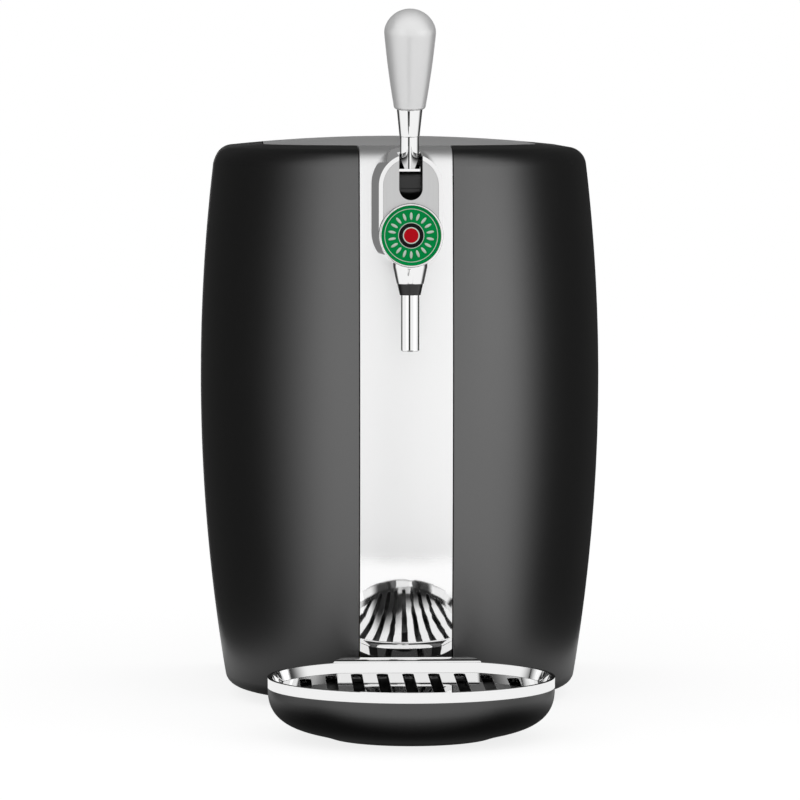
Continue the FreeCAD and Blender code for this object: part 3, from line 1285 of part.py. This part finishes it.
def grille(low, high):
    inset = "band_wall + dish_slope + grille_gap"
    rear = "tray_rear_y - lip_depth - dish_slope - grille_gap"
    plate = overlap("grille_plate", oval("grille_oval", inset, low, high),
                    before("grille_zone", rear, low, high))
    slots = []
    count = int(size_of("slot_count"))
    for number in range(count):
        x = "slot_pitch * %g" % (number - (count - 1) / 2)
        reach = "(tray_reach - slot_margin) * sqrt(1 - (%s / (tray_half - slot_margin))^2)" % x
        end, _ = between("tray_centre_y + " + reach, "tray_rear_y - lip_depth - slot_margin / 2")
        front_y = "tray_centre_y - %s + slot_width / 2" % reach
        rear_y = end + " - slot_width / 2"
        slots.append(box("slot_%d" % number, (x + " - slot_width / 2", front_y, low + " - cut_over"),
                         (x + " + slot_width / 2", rear_y, high + " + cut_over")))
        for tag, y in (("front", front_y), ("rear", rear_y)):
            slots.append(rod("slot_%s_%d" % (tag, number), "slot_width / 2",
                             "%s - (%s) + cut_over * 2" % (high, low), (x, y, low + " - cut_over")))
    node(cut("grille", plate, *slots), "drip_grille")


# --- the whole dispenser ----------------------------------------------------------------

outer_form = barrel("casing_outer", "0")
inner_form = barrel("casing_inner", "casing_wall")
casing(outer_form, inner_form)
lid(outer_form, inner_form)
top_deck(outer_form, inner_form)
chamber()
cooling()
mains()
tap_body(outer_form)
badge()
lever()
valve()
spout()
tray()
doc.recompute()

for item in doc.Objects:
    if "Invalid" in item.State or "Error" in item.State:
        raise RuntimeError("%s did not build" % item.Name)
for item in nodes:
    if item.Shape.isNull() or not item.Shape.isValid():
        raise RuntimeError("%s has no sound shape" % item.Label)

os.makedirs("parts", exist_ok=True)
for item in nodes:
    item.Shape.exportStep("parts/%s.step" % item.Label)
    print(item.Label, len(item.Shape.Solids), round(item.Shape.Volume))
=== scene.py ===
import bmesh
import bpy
import json
import math
from mathutils import Euler, Matrix, Vector

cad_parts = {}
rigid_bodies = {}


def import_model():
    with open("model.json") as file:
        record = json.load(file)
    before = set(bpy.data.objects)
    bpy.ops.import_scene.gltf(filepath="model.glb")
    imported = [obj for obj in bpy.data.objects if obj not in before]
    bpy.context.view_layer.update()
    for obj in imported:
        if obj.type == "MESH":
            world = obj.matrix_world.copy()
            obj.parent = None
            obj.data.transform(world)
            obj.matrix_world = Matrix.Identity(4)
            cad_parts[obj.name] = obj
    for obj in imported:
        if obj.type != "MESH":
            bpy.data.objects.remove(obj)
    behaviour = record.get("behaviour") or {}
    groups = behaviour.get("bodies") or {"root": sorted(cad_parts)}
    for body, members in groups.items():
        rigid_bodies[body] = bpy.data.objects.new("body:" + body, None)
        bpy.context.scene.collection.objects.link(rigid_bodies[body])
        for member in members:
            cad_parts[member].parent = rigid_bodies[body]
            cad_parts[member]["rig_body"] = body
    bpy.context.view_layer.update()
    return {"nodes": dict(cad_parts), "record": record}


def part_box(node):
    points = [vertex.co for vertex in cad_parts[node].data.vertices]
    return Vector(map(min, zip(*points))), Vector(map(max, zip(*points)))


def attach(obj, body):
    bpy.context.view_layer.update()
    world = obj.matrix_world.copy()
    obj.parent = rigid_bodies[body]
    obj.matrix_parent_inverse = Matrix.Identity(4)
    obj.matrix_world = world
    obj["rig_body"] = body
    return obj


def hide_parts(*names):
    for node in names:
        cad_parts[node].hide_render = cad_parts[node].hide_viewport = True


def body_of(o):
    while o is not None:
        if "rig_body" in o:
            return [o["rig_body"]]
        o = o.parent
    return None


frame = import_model()
nodes = frame["nodes"]
print("frame loaded:", len(nodes), "nodes")

# metres, with the lens and its sensor in millimetres
cameraSettings = {
    "place": (-0.1047, -2.9323, 0.409), "target": (0.0003, 0.0657, 0.1987), "lens": 199.8, "sensor": 36.0,
    "farthest": 50,
}


def aimAt(piece, settings):
    piece.location = settings["place"]
    aim = Vector(settings["target"]) - Vector(settings["place"])
    piece.rotation_euler = aim.to_track_quat("-Z", "Y").to_euler()


def makeCamera(settings):
    data = bpy.data.cameras.new("photoCamera")
    data.lens = settings["lens"]
    data.sensor_width = settings["sensor"]
    data.clip_end = settings["farthest"]
    camera = bpy.data.objects.new("photoCamera", data)
    bpy.context.collection.objects.link(camera)
    aimAt(camera, settings)
    bpy.context.scene.camera = camera


makeCamera(cameraSettings)
print("camera placed")

# how fine the noise is in the effects that the finishes share
effectDetail = {"grain": 3.0, "smudge": 5.0, "smudgeRoughness": 0.6, "lines": 4.0}


def newGroup(name, inputs, outputs):
    group = bpy.data.node_groups.new(name, "ShaderNodeTree")
    for title, kind, default in inputs:
        socket = group.interface.new_socket(title, in_out="INPUT", socket_type=kind)
        if default is not None:
            socket.default_value = default
    for title, kind in outputs:
        group.interface.new_socket(title, in_out="OUTPUT", socket_type=kind)
    return group, group.nodes.new("NodeGroupInput"), group.nodes.new("NodeGroupOutput")


# blends the group's inputs called low and high by a pattern, into the output called title
def rampInto(group, value, ins, outs, low, high, title, colorKind=True):
    mix = group.nodes.new("ShaderNodeMix")
    mix.data_type = "RGBA" if colorKind else "FLOAT"
    group.links.new(value, mix.inputs[0])
    first = 6 if colorKind else 2    # the mix node keeps one pair of sockets for each kind
    group.links.new(ins.outputs[low], mix.inputs[first])
    group.links.new(ins.outputs[high], mix.inputs[first + 1])
    group.links.new(mix.outputs[2 if colorKind else 0], outs.inputs[title])


def makeGrainGroup():
    group, ins, outs = newGroup("mouldedGrain", [
        ("Vector", "NodeSocketVector", None), ("Grain Scale", "NodeSocketFloat", 2200.0),
        ("Smudge Scale", "NodeSocketFloat", 14.0), ("Color Low", "NodeSocketColor", (0, 0, 0, 1)),
        ("Color High", "NodeSocketColor", (1, 1, 1, 1)), ("Rough Low", "NodeSocketFloat", 0.4),
        ("Rough High", "NodeSocketFloat", 0.5)],
        [("Color", "NodeSocketColor"), ("Roughness", "NodeSocketFloat"), ("Height", "NodeSocketFloat")])
    grain = group.nodes.new("ShaderNodeTexNoise")
    grain.inputs["Detail"].default_value = effectDetail["grain"]
    group.links.new(ins.outputs["Vector"], grain.inputs["Vector"])
    group.links.new(ins.outputs["Grain Scale"], grain.inputs["Scale"])
    smudge = group.nodes.new("ShaderNodeTexNoise")
    smudge.inputs["Detail"].default_value = effectDetail["smudge"]
    smudge.inputs["Roughness"].default_value = effectDetail["smudgeRoughness"]
    group.links.new(ins.outputs["Vector"], smudge.inputs["Vector"])
    group.links.new(ins.outputs["Smudge Scale"], smudge.inputs["Scale"])
    rampInto(group, grain.outputs["Fac"], ins, outs, "Color Low", "Color High", "Color")
    rampInto(group, smudge.outputs["Fac"], ins, outs, "Rough Low", "Rough High", "Roughness", False)
    group.links.new(grain.outputs["Fac"], outs.inputs["Height"])
    return group


def makeBrushGroup():
    group, ins, outs = newGroup("brushedLines", [
        ("Vector", "NodeSocketVector", None), ("Line Scale", "NodeSocketFloat", 900.0),
        ("Color Low", "NodeSocketColor", (0.6, 0.6, 0.6, 1)),
        ("Color High", "NodeSocketColor", (0.8, 0.8, 0.8, 1)),
        ("Rough Low", "NodeSocketFloat", 0.2), ("Rough High", "NodeSocketFloat", 0.3)],
        [("Color", "NodeSocketColor"), ("Roughness", "NodeSocketFloat"), ("Height", "NodeSocketFloat")])
    lines = group.nodes.new("ShaderNodeTexNoise")
    lines.inputs["Detail"].default_value = effectDetail["lines"]
    group.links.new(ins.outputs["Vector"], lines.inputs["Vector"])
    group.links.new(ins.outputs["Line Scale"], lines.inputs["Scale"])
    rampInto(group, lines.outputs["Fac"], ins, outs, "Color Low", "Color High", "Color")
    rampInto(group, lines.outputs["Fac"], ins, outs, "Rough Low", "Rough High", "Roughness", False)
    group.links.new(lines.outputs["Fac"], outs.inputs["Height"])
    return group


grainGroup = makeGrainGroup()
brushGroup = makeBrushGroup()


def grey(value, blueShift=0.0):
    return (value, value, value * (1 + blueShift), 1)


def newMaterial(name, group, values, stretch=(1, 1, 1), bump=0.0, bumpDistance=0.00005, **plain):
    material = bpy.data.materials.new(name)
    material.use_nodes = True
    tree = material.node_tree
    shader = tree.nodes["Principled BSDF"]
    for title, value in plain.items():
        shader.inputs[title].default_value = value
    coordinates = tree.nodes.new("ShaderNodeTexCoord")
    mapping = tree.nodes.new("ShaderNodeMapping")
    mapping.inputs["Scale"].default_value = stretch
    tree.links.new(coordinates.outputs["Object"], mapping.inputs["Vector"])
    effect = tree.nodes.new("ShaderNodeGroup")
    effect.node_tree = group
    for title, value in values.items():
        effect.inputs[title].default_value = value
    tree.links.new(mapping.outputs["Vector"], effect.inputs["Vector"])
    tree.links.new(effect.outputs["Color"], shader.inputs["Base Color"])
    if "Roughness" not in plain:
        tree.links.new(effect.outputs["Roughness"], shader.inputs["Roughness"])
    if bump:
        relief = tree.nodes.new("ShaderNodeBump")
        relief.inputs["Strength"].default_value = bump
        relief.inputs["Distance"].default_value = bumpDistance
        tree.links.new(effect.outputs["Height"], relief.inputs["Height"])
        tree.links.new(relief.outputs["Normal"], shader.inputs["Normal"])
    return material


def grain(name, low, high, roughLow, roughHigh, grainScale=2200.0, **rest):
    values = {"Color Low": low, "Color High": high, "Rough Low": roughLow, "Rough High": roughHigh,
              "Grain Scale": grainScale}
    return newMaterial(name, grainGroup, values, **rest)


def brushed(name, low, high, roughLow, roughHigh, **rest):
    values = {"Color Low": low, "Color High": high, "Rough Low": roughLow, "Rough High": roughHigh}
    return newMaterial(name, brushGroup, values, **rest)


dullEnamel = {"Specular IOR Level": 0.05}
softEnamel = {"Specular IOR Level": 0.2}
finishes = {
    "panel": grain("satinCharcoalPaint", grey(0.125), grey(0.15), 0.33, 0.38, bump=0.06, Metallic=1.0),
    "bright_band": grain("polishedBand", grey(0.94), grey(0.97), 0.38, 0.42),
    "dark_cover": grain("rearCoverPlastic", grey(0.018), grey(0.03), 0.42, 0.52, 1500.0, bump=0.2),
    "lid": grain("lidPlastic", grey(0.47), grey(0.53), 0.34, 0.4, bump=0.1),
    "inner_plastic": grain("paleInnerPlastic", grey(0.5, 0.03), grey(0.56, 0.03), 0.45, 0.55, bump=0.15),
    "rubber": grain("matRubber", grey(0.012), grey(0.03), 0.6, 0.8, 900.0, bump=0.3),
    "foam": grain("openFoam", (0.7, 0.66, 0.55, 1), (0.86, 0.83, 0.74, 1), 0.85, 0.95, 450.0, bump=0.9,
                  bumpDistance=0.0004),
    "liner": brushed("brushedLiner", grey(0.6), grey(0.75), 0.25, 0.38, stretch=(1, 1, 0.02), bump=0.1,
                     Metallic=1.0),
    "cold_metal": brushed("milledAluminium", grey(0.6), grey(0.74), 0.3, 0.42, stretch=(0.03, 1, 1), bump=0.1,
                          Metallic=1.0),
    "ceramic": grain("whiteCeramic", grey(0.8), grey(0.88), 0.2, 0.3),
    "fan_plastic": grain("fanPlastic", grey(0.012), grey(0.02), 0.35, 0.45, bump=0.1),
    "board": grain("solderMask", (0.008, 0.09, 0.03, 1), (0.015, 0.16, 0.06, 1), 0.25, 0.35, 500.0),
    "winding": brushed("tapedWinding", (0.5, 0.33, 0.04, 1), (0.75, 0.52, 0.1, 1), 0.3, 0.45,
                       stretch=(1, 1, 8), bump=0.3),
    "can": brushed("sleevedCan", (0.05, 0.07, 0.12, 1), (0.09, 0.11, 0.17, 1), 0.25, 0.35,
                   stretch=(1, 1, 0.1)),
    "steel": brushed("platedSteel", grey(0.5), grey(0.62), 0.22, 0.34, Metallic=1.0),
    "chrome": grain("polishedChrome", grey(0.84), grey(0.88), 0.0, 0.0, Roughness=0.0, Metallic=1.0),
    "satin_chrome": brushed("satinFacePlate", grey(0.54), grey(0.6), 0.3, 0.36, stretch=(1, 1, 0.03),
                            bump=0.05, Metallic=1.0),
    "pearl_grip": grain("pearlGrip", grey(0.95), grey(0.99), 0.28, 0.34, 3000.0, bump=0.05, Metallic=0.3),
    "badge_green": grain("greenEnamel", (0.0, 0.29, 0.06, 1), (0.0, 0.34, 0.085, 1), 0.2, 0.28, 120.0,
                         **dullEnamel),
    "badge_red": grain("redEnamel", (0.56, 0.004, 0.012, 1), (0.66, 0.006, 0.016, 1), 0.2, 0.28, 120.0,
                       **dullEnamel),
    "badge_black": grain("blackEnamel", grey(0.008), grey(0.012), 0.2, 0.28, 120.0, **dullEnamel),
    "badge_pale": grain("paleEnamel", (0.68, 0.8, 0.7, 1), (0.74, 0.86, 0.76, 1), 0.3, 0.4, 120.0,
                        **softEnamel),
    "black_plastic": grain("glossBlackPlastic", grey(0.008), grey(0.014), 0.16, 0.26),
    "hose": grain("milkySilicone", grey(0.7), grey(0.78), 0.4, 0.5),
    "tray_dark": grain("trayCharcoal", grey(0.082), grey(0.095), 0.26, 0.34, bump=0.03, Metallic=1.0),
}
# the band is near a mirror at its foot and satin above, with both heights in metres
bandPolish = {
    "satinAbove": 0.112, "mirrorBelow": 0.094, "footRoughness": 0.04, "footMetal": 1.0, "satinMetal": 0.8,
}


def polishFoot(material, settings):
    tree = material.node_tree
    shader = tree.nodes["Principled BSDF"]
    satin = shader.inputs["Roughness"].links[0].from_socket
    split = tree.nodes.new("ShaderNodeSeparateXYZ")
    tree.links.new(tree.nodes.new("ShaderNodeTexCoord").outputs["Object"], split.inputs[0])
    rise = tree.nodes.new("ShaderNodeMapRange")
    rise.interpolation_type = "SMOOTHSTEP"
    rise.inputs["From Min"].default_value = settings["mirrorBelow"]
    rise.inputs["From Max"].default_value = settings["satinAbove"]
    tree.links.new(split.outputs["Z"], rise.inputs["Value"])
    blend = tree.nodes.new("ShaderNodeMix")
    blend.inputs[2].default_value = settings["footRoughness"]
    tree.links.new(rise.outputs[0], blend.inputs[0])
    tree.links.new(satin, blend.inputs[3])
    tree.links.new(blend.outputs[0], shader.inputs["Roughness"])
    metal = tree.nodes.new("ShaderNodeMix")
    metal.inputs[2].default_value = settings["footMetal"]
    metal.inputs[3].default_value = settings["satinMetal"]
    tree.links.new(rise.outputs[0], metal.inputs[0])
    tree.links.new(metal.outputs[0], shader.inputs["Metallic"])


polishFoot(finishes["bright_band"], bandPolish)
for row in frame["record"]["subparts"]:
    node = nodes[row["node"]]
    for slotRow in node.material_slots:
        slotRow.material = finishes[row["material_slot"]]
print("finishes on every node")

# parts whose edges show their rounding, with the bevel's width in metres
roundedParts = {
    "tray_rim": {"piece": "trayRimPolished", "width": 0.0006, "segments": 3},
    "drip_grille": {"piece": "dripGrillePressed", "width": 0.0008, "segments": 3},
    "tap_housing": {"piece": "tapHousingCast", "width": 0.0005, "segments": 3},
    "badge_bezel": {"piece": "badgeBezelTurned", "width": 0.0004, "segments": 3},
    "lever_ferrule": {"piece": "leverFerruleTurned", "width": 0.0005, "segments": 2},
    "spout_cone": {"piece": "spoutConeTurned", "width": 0.0003, "segments": 2},
    "spout_tube": {"piece": "spoutTubeTurned", "width": 0.0003, "segments": 2},
}
# angles in degrees, and the weld in metres
roundedEdges = {"flatWithin": 0.6, "crispOver": 35.0, "weldWithin": 0.00001}
slotOf = {row["node"]: row["material_slot"] for row in frame["record"]["subparts"]}


def meshPiece(name, work, slotName, finishName=None):
    mesh = bpy.data.meshes.new(name)
    work.to_mesh(mesh)
    work.free()
    mesh.materials.append(finishes[finishName or slotName])
    piece = bpy.data.objects.new(name, mesh)
    bpy.context.collection.objects.link(piece)
    return piece


def roundEdges(nodeName, settings):
    work = bmesh.new()
    work.from_mesh(nodes[nodeName].data)
    bmesh.ops.remove_doubles(work, verts=work.verts, dist=roundedEdges["weldWithin"])
    bmesh.ops.dissolve_limit(work, angle_limit=math.radians(roundedEdges["flatWithin"]),
                             verts=work.verts, edges=work.edges)
    crispAngle = math.radians(roundedEdges["crispOver"])
    crisp = [edge for edge in work.edges if len(edge.link_faces) == 2 and edge.calc_face_angle() > crispAngle]
    bmesh.ops.bevel(work, geom=crisp, offset=settings["width"], segments=settings["segments"], profile=0.5,
                    material=-1, affect="EDGES", clamp_overlap=True)
    for face in work.faces:
        face.smooth = True
    piece = meshPiece(settings["piece"], work, slotOf[nodeName])
    piece.data.set_sharp_from_angle(angle=crispAngle)
    piece.modifiers.new("flatFacesStayFlat", "WEIGHTED_NORMAL").keep_sharp = True
    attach(piece, body_of(nodes[nodeName])[0])
    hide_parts(nodeName)
    print("rounded", nodeName, len(crisp), "edges,", len(piece.data.polygons), "faces")


for nodeName, settings in roundedParts.items():
    roundEdges(nodeName, settings)

# the badge's design, raised enamel on the domed disc: a roundel, its rings and a ring of grains
badgeDesign = {
    "dome": 0.0009, "proud": 0.00015, "depth": 0.0006, "around": 64,
    "bands": {
        "badgeRoundel": {"radii": (0.0, 0.0046), "finish": "badge_red"},
        "badgeRoundelRing": {"radii": (0.0046, 0.0053), "finish": "badge_pale"},
        "badgeDarkRing": {"radii": (0.0053, 0.0078), "finish": "badge_black"},
        "badgeDarkRingEdge": {"radii": (0.0078, 0.0082), "finish": "badge_pale"},
        "badgeOuterRing": {"radii": (0.0165, 0.0169), "finish": "badge_pale"},
    },
    "grains": {"piece": "badgeGrains", "count": 18, "reach": 0.0122, "half": (0.0009, 0.0005, 0.0024),
               "around": 12, "rows": 8, "finish": "badge_pale"},
}


def onBadge(piece, settings):
    low, high = [Vector(corner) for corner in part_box("badge_disc")]
    radius = (high.x - low.x) / 2
    centre = Vector((0, low.y - settings["proud"], (low.z + high.z) / 2))
    for point in piece.data.vertices:
        point.co.y += settings["dome"] * (point.co.x ** 2 + point.co.z ** 2) / radius ** 2
        point.co += centre
    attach(piece, body_of(nodes["badge_disc"])[0])


def badgeBand(name, band, settings):
    inner, outer = band["radii"]
    work = bmesh.new()
    bmesh.ops.create_circle(work, cap_ends=inner == 0, segments=settings["around"], radius=inner or outer)
    if inner:
        grown = bmesh.ops.extrude_edge_only(work, edges=work.edges[:])["geom"]
        bmesh.ops.scale(work, vec=(outer / inner, outer / inner, 1),
                        verts=[part for part in grown if isinstance(part, bmesh.types.BMVert)])
    bmesh.ops.rotate(work, matrix=Matrix.Rotation(math.radians(90), 3, "X"), verts=work.verts)
    raised = bmesh.ops.extrude_face_region(work, geom=work.faces[:])["geom"]
    bmesh.ops.translate(work, vec=(0, settings["depth"], 0),
                        verts=[part for part in raised if isinstance(part, bmesh.types.BMVert)])
    bmesh.ops.recalc_face_normals(work, faces=work.faces)
    onBadge(meshPiece(name, work, slotOf["badge_disc"], band["finish"]), settings)


def badgeGrainRing(grains, settings):
    work = bmesh.new()
    for number in range(grains["count"]):
        turn = Matrix.Rotation(math.tau * number / grains["count"], 4, "Y")
        place = turn @ Matrix.Translation((0, 0, grains["reach"])) @ Matrix.Diagonal((*grains["half"], 1))
        bmesh.ops.create_uvsphere(work, u_segments=grains["around"], v_segments=grains["rows"], radius=1,
                                  matrix=place)
    for face in work.faces:
        face.smooth = True
    onBadge(meshPiece(grains["piece"], work, slotOf["badge_disc"], grains["finish"]), settings)


for name, band in badgeDesign["bands"].items():
    badgeBand(name, band, badgeDesign)
badgeGrainRing(badgeDesign["grains"], badgeDesign)
print("badge design:", len(badgeDesign["bands"]) + 1, "pieces")

# A flag is a cloth that only reflections see: those of satin surfaces, or those of mirror surfaces. A few sit
# on the floor or on the machine itself as painted shade or painted light.
# Its fade says where it becomes solid and where it stops being so, first across and then up.
studio = {
    "floorSide": 24.0, "floorTone": 0.3, "floorRoughness": 0.9, "floorLift": 0.82, "worldLight": 0.6,
    "backTone": 1.0,
    "lamps": {
        "leftBox": {"place": (-1.7, -2.6, 0.9), "target": (0, 0, 0.22), "size": (1.9, 2.2), "watts": 15,
                    "lights": ("diffuse", "transmission")},
        "rightBox": {"place": (1.9, -2.4, 0.9), "target": (0, 0, 0.22), "size": (1.9, 2.2), "watts": 16,
                     "lights": ("diffuse", "transmission")},
        "leftGlow": {"place": (-1.5, -1.9, 0.3), "target": (0, 0, 0.22), "size": (1.2, 1.2), "watts": 0.7,
                     "lights": ("glossy",)},
        "rightGlow": {"place": (2.0, -1.3, 0.3), "target": (0, 0, 0.22), "size": (1.4, 1.2), "watts": 1.9,
                      "lights": ("glossy",)},
    },
    "flags": {
        "leftFlag": {"size": (0.72, 0.72), "place": (-0.2, 0.14, 0.34), "turn": (90, 0, 90),
                     "tone": 0.06, "fade": (0.28, 0.86, 0.03, 0.8), "rays": "satin"},
        "rightFlag": {"size": (0.62, 0.72), "place": (0.2, 0.19, 0.34), "turn": (90, 0, 90),
                      "tone": 0.06, "fade": (0.16, 0.84, 0.03, 0.8), "rays": "satin"},
        "topFlag": {"size": (3.0, 6.82), "place": (0, 3.09, 0.7), "turn": (0, 0, 0),
                    "tone": 0.05, "fade": (0.2, 0.8, 0.0587, 0.839), "rays": "satin"},
        # a dark sheet on the floor around the machine's foot, seen only by satin reflections: painted shade
        # standing in for the floor's shade near the foot
        "paintedFootShade": {"size": (0.5, 0.52), "place": (0, -0.02, 0.0008), "turn": (0, 0, 0),
                      "tone": 0.05, "fade": (0.34, 0.66, 0.13, 0.89), "rays": "satin"},
        "centreCard": {"size": (0.42, 0.46), "place": (-0.205, -1.095, 0.21), "turn": (90, 0, -14),
                       "tone": 0.02, "fade": (0.3, 0.97, 0.12, 0.88), "rays": "mirror"},
        "lowCard": {"size": (0.31, 0.1), "place": (-0.155, -0.86, 0.001), "turn": (0, 0, 0),
                    "tone": 0.02, "fade": (0.3, 0.97, 0.05, 0.95), "rays": "mirror"},
        "knobCard": {"size": (0.3, 0.4), "place": (-0.1, -0.9, 0.0012), "turn": (0, 0, 0),
                     "tone": 0.1, "fade": (0.3, 0.7, 0.2, 0.8), "rays": "satin"},
        "tableCard": {"size": (0.4, 0.34), "place": (0, -0.4, 0.06), "turn": (0, 0, 0),
                      "tone": 0.03, "fade": (0.2, 0.8, 0.15, 0.85), "rays": "mirror"},
        "overCard": {"size": (2.4, 1.2), "place": (0, -0.1, 0.72), "turn": (0, 0, 0),
                     "tone": 0.03, "fade": (0.2, 0.8, 0.23, 0.8), "rays": "mirror"},
        "leftCard": {"size": (1.4, 0.9), "place": (-0.5, 0.7, 0.4), "turn": (90, 0, 90),
                     "tone": 0.06, "fade": (0.17, 0.97, 0.1, 0.8), "rays": "mirror"},
        "rightCard": {"size": (1.5, 0.9), "place": (0.5, 0.65, 0.4), "turn": (90, 0, 90),
                      "tone": 0.06, "fade": (0.17, 0.97, 0.1, 0.8), "rays": "mirror"},
        "rearCard": {"size": (1.6, 0.5), "place": (0, 1.3, 0.55), "turn": (90, 0, 0),
                     "tone": 0.25, "fade": (0.1, 0.9, 0.1, 0.9), "rays": "mirror"},
        # a grey sheet on the band beside the snout, seen only by mirror reflections: painted shade that the
        # snout's side walls reflect, standing in for the band's shade around the snout
        "paintedSnoutShade": {"size": (0.024, 0.09), "place": (-0.03, -0.0705, 0.333), "turn": (90, 0, 0),
                      "tone": 0.2, "fade": (0.3, 0.95, 0.1, 0.9), "rays": "mirror"},
        # two pale glowing sheets inside the tap's slot beside the foot of the lever's stem, seen only by
        # mirror reflections: painted light that gives the stem's foot its highlights
        "paintedSlotGlowLeft": {"size": (0.03, 0.016), "place": (-0.0068, -0.122, 0.357), "turn": (90, 0, 90),
                         "tone": 0.8, "fade": (0.05, 0.95, 0.05, 0.6), "rays": "mirror"},
        "paintedSlotGlowRight": {"size": (0.03, 0.016), "place": (0.0068, -0.122, 0.357), "turn": (90, 0, 90),
                          "tone": 0.8, "fade": (0.05, 0.95, 0.05, 0.6), "rays": "mirror"},
    },
}


def makePlane(name, width, height, matrix):
    sheet = bmesh.new()
    sheet.loops.layers.uv.new("acrossUp")
    bmesh.ops.create_grid(sheet, x_segments=1, y_segments=1, size=0.5, calc_uvs=True)
    bmesh.ops.scale(sheet, vec=(width, height, 1), verts=sheet.verts)
    bmesh.ops.transform(sheet, matrix=matrix, verts=sheet.verts)
    mesh = bpy.data.meshes.new(name)
    sheet.to_mesh(mesh)
    sheet.free()
    plane = bpy.data.objects.new(name, mesh)
    bpy.context.collection.objects.link(plane)
    return plane


def seenRays(tree):
    path = tree.nodes.new("ShaderNodeLightPath")
    total = path.outputs["Is Camera Ray"]
    for title in ("Is Glossy Ray", "Is Transmission Ray"):
        most = tree.nodes.new("ShaderNodeMath")
        most.operation = "MAXIMUM"
        tree.links.new(total, most.inputs[0])
        tree.links.new(path.outputs[title], most.inputs[1])
        total = most.outputs[0]
    return total


def flagCloth(name, tone, fade, rays):
    material = bpy.data.materials.new(name)
    material.use_nodes = True
    tree = material.node_tree
    tree.nodes.clear()
    split = tree.nodes.new("ShaderNodeSeparateXYZ")
    tree.links.new(tree.nodes.new("ShaderNodeTexCoord").outputs["UV"], split.inputs[0])
    ramps = []
    for axis, low, high in (("X", *fade[:2]), ("Y", *fade[2:])):
        ramp = tree.nodes.new("ShaderNodeValToRGB")
        ramp.color_ramp.interpolation = "EASE"
        stops = ramp.color_ramp.elements
        stops[0].position, stops[1].position = 0.0, 1.0
        stops[1].color = (0, 0, 0, 1)
        for place in (low, high):
            stops.new(place).color = (1, 1, 1, 1)
        tree.links.new(split.outputs[axis], ramp.inputs[0])
        ramps.append(ramp.outputs["Color"])
    cover = tree.nodes.new("ShaderNodeMath")
    cover.operation = "MULTIPLY"
    for socket, ramp in zip(cover.inputs, ramps):
        tree.links.new(ramp, socket)
    singular = tree.nodes.new("ShaderNodeLightPath").outputs["Is Singular Ray"]
    if rays == "satin":
        other = tree.nodes.new("ShaderNodeMath")
        other.operation = "SUBTRACT"
        other.inputs[0].default_value = 1.0
        tree.links.new(singular, other.inputs[1])
        singular = other.outputs[0]
    seen = tree.nodes.new("ShaderNodeMath")
    seen.operation = "MULTIPLY"
    tree.links.new(cover.outputs[0], seen.inputs[0])
    tree.links.new(singular, seen.inputs[1])
    glow = tree.nodes.new("ShaderNodeEmission")
    glow.inputs["Strength"].default_value = tone
    mix = tree.nodes.new("ShaderNodeMixShader")
    tree.links.new(seen.outputs[0], mix.inputs[0])
    tree.links.new(tree.nodes.new("ShaderNodeBsdfTransparent").outputs[0], mix.inputs[1])
    tree.links.new(glow.outputs[0], mix.inputs[2])
    tree.links.new(mix.outputs[0], tree.nodes.new("ShaderNodeOutputMaterial").inputs["Surface"])
    return material


def makeWorld(settings):
    world = bpy.data.worlds.new("studioWorld")
    bpy.context.scene.world = world
    world.use_nodes = True
    tree = world.node_tree
    background = tree.nodes["Background"]
    background.inputs["Color"].default_value = (1, 1, 1, 1)
    strength = tree.nodes.new("ShaderNodeMix")
    strength.inputs[2].default_value = settings["worldLight"]
    strength.inputs[3].default_value = settings["backTone"]
    tree.links.new(seenRays(tree), strength.inputs[0])
    tree.links.new(strength.outputs[0], background.inputs["Strength"])


def makeFloor(settings):
    floor = makePlane("studioFloor", settings["floorSide"], settings["floorSide"], Matrix())
    material = bpy.data.materials.new("paleFloor")
    material.use_nodes = True
    tree = material.node_tree
    shader = tree.nodes["Principled BSDF"]
    shader.inputs["Base Color"].default_value = grey(settings["floorTone"])
    shader.inputs["Roughness"].default_value = settings["floorRoughness"]
    shader.inputs["Specular IOR Level"].default_value = 0.0
    lift = tree.nodes.new("ShaderNodeMath")
    lift.operation = "MULTIPLY"
    lift.inputs[1].default_value = settings["floorLift"]
    tree.links.new(seenRays(tree), lift.inputs[0])
    tree.links.new(lift.outputs[0], shader.inputs["Emission Strength"])
    shader.inputs["Emission Color"].default_value = (1, 1, 1, 1)
    floor.data.materials.append(material)


def makeLamps(settings):
    for name, lamp in settings["lamps"].items():
        data = bpy.data.lights.new(name, "AREA")
        data.shape = "RECTANGLE"
        data.size, data.size_y = lamp["size"]
        data.energy = lamp["watts"]
        box = bpy.data.objects.new(name, data)
        bpy.context.collection.objects.link(box)
        aimAt(box, lamp)
        box.visible_camera = False
        for ray in ("diffuse", "glossy", "transmission"):
            setattr(box, "visible_" + ray, ray in lamp["lights"])


def makeFlags(settings):
    for name, flag in settings["flags"].items():
        turn = Euler([math.radians(angle) for angle in flag["turn"]]).to_matrix().to_4x4()
        cloth = makePlane(name, *flag["size"], Matrix.Translation(flag["place"]) @ turn)
        cloth.data.materials.append(flagCloth(name + "Cloth", flag["tone"], flag["fade"], flag["rays"]))
        for ray in ("camera", "diffuse", "shadow", "transmission"):
            setattr(cloth, "visible_" + ray, False)


bpy.context.scene.view_settings.view_transform = "Standard"
makeWorld(studio)
makeFloor(studio)
makeLamps(studio)
makeFlags(studio)
print("studio ready:", len(studio["lamps"]), "lamps,", len(studio["flags"]), "flags")
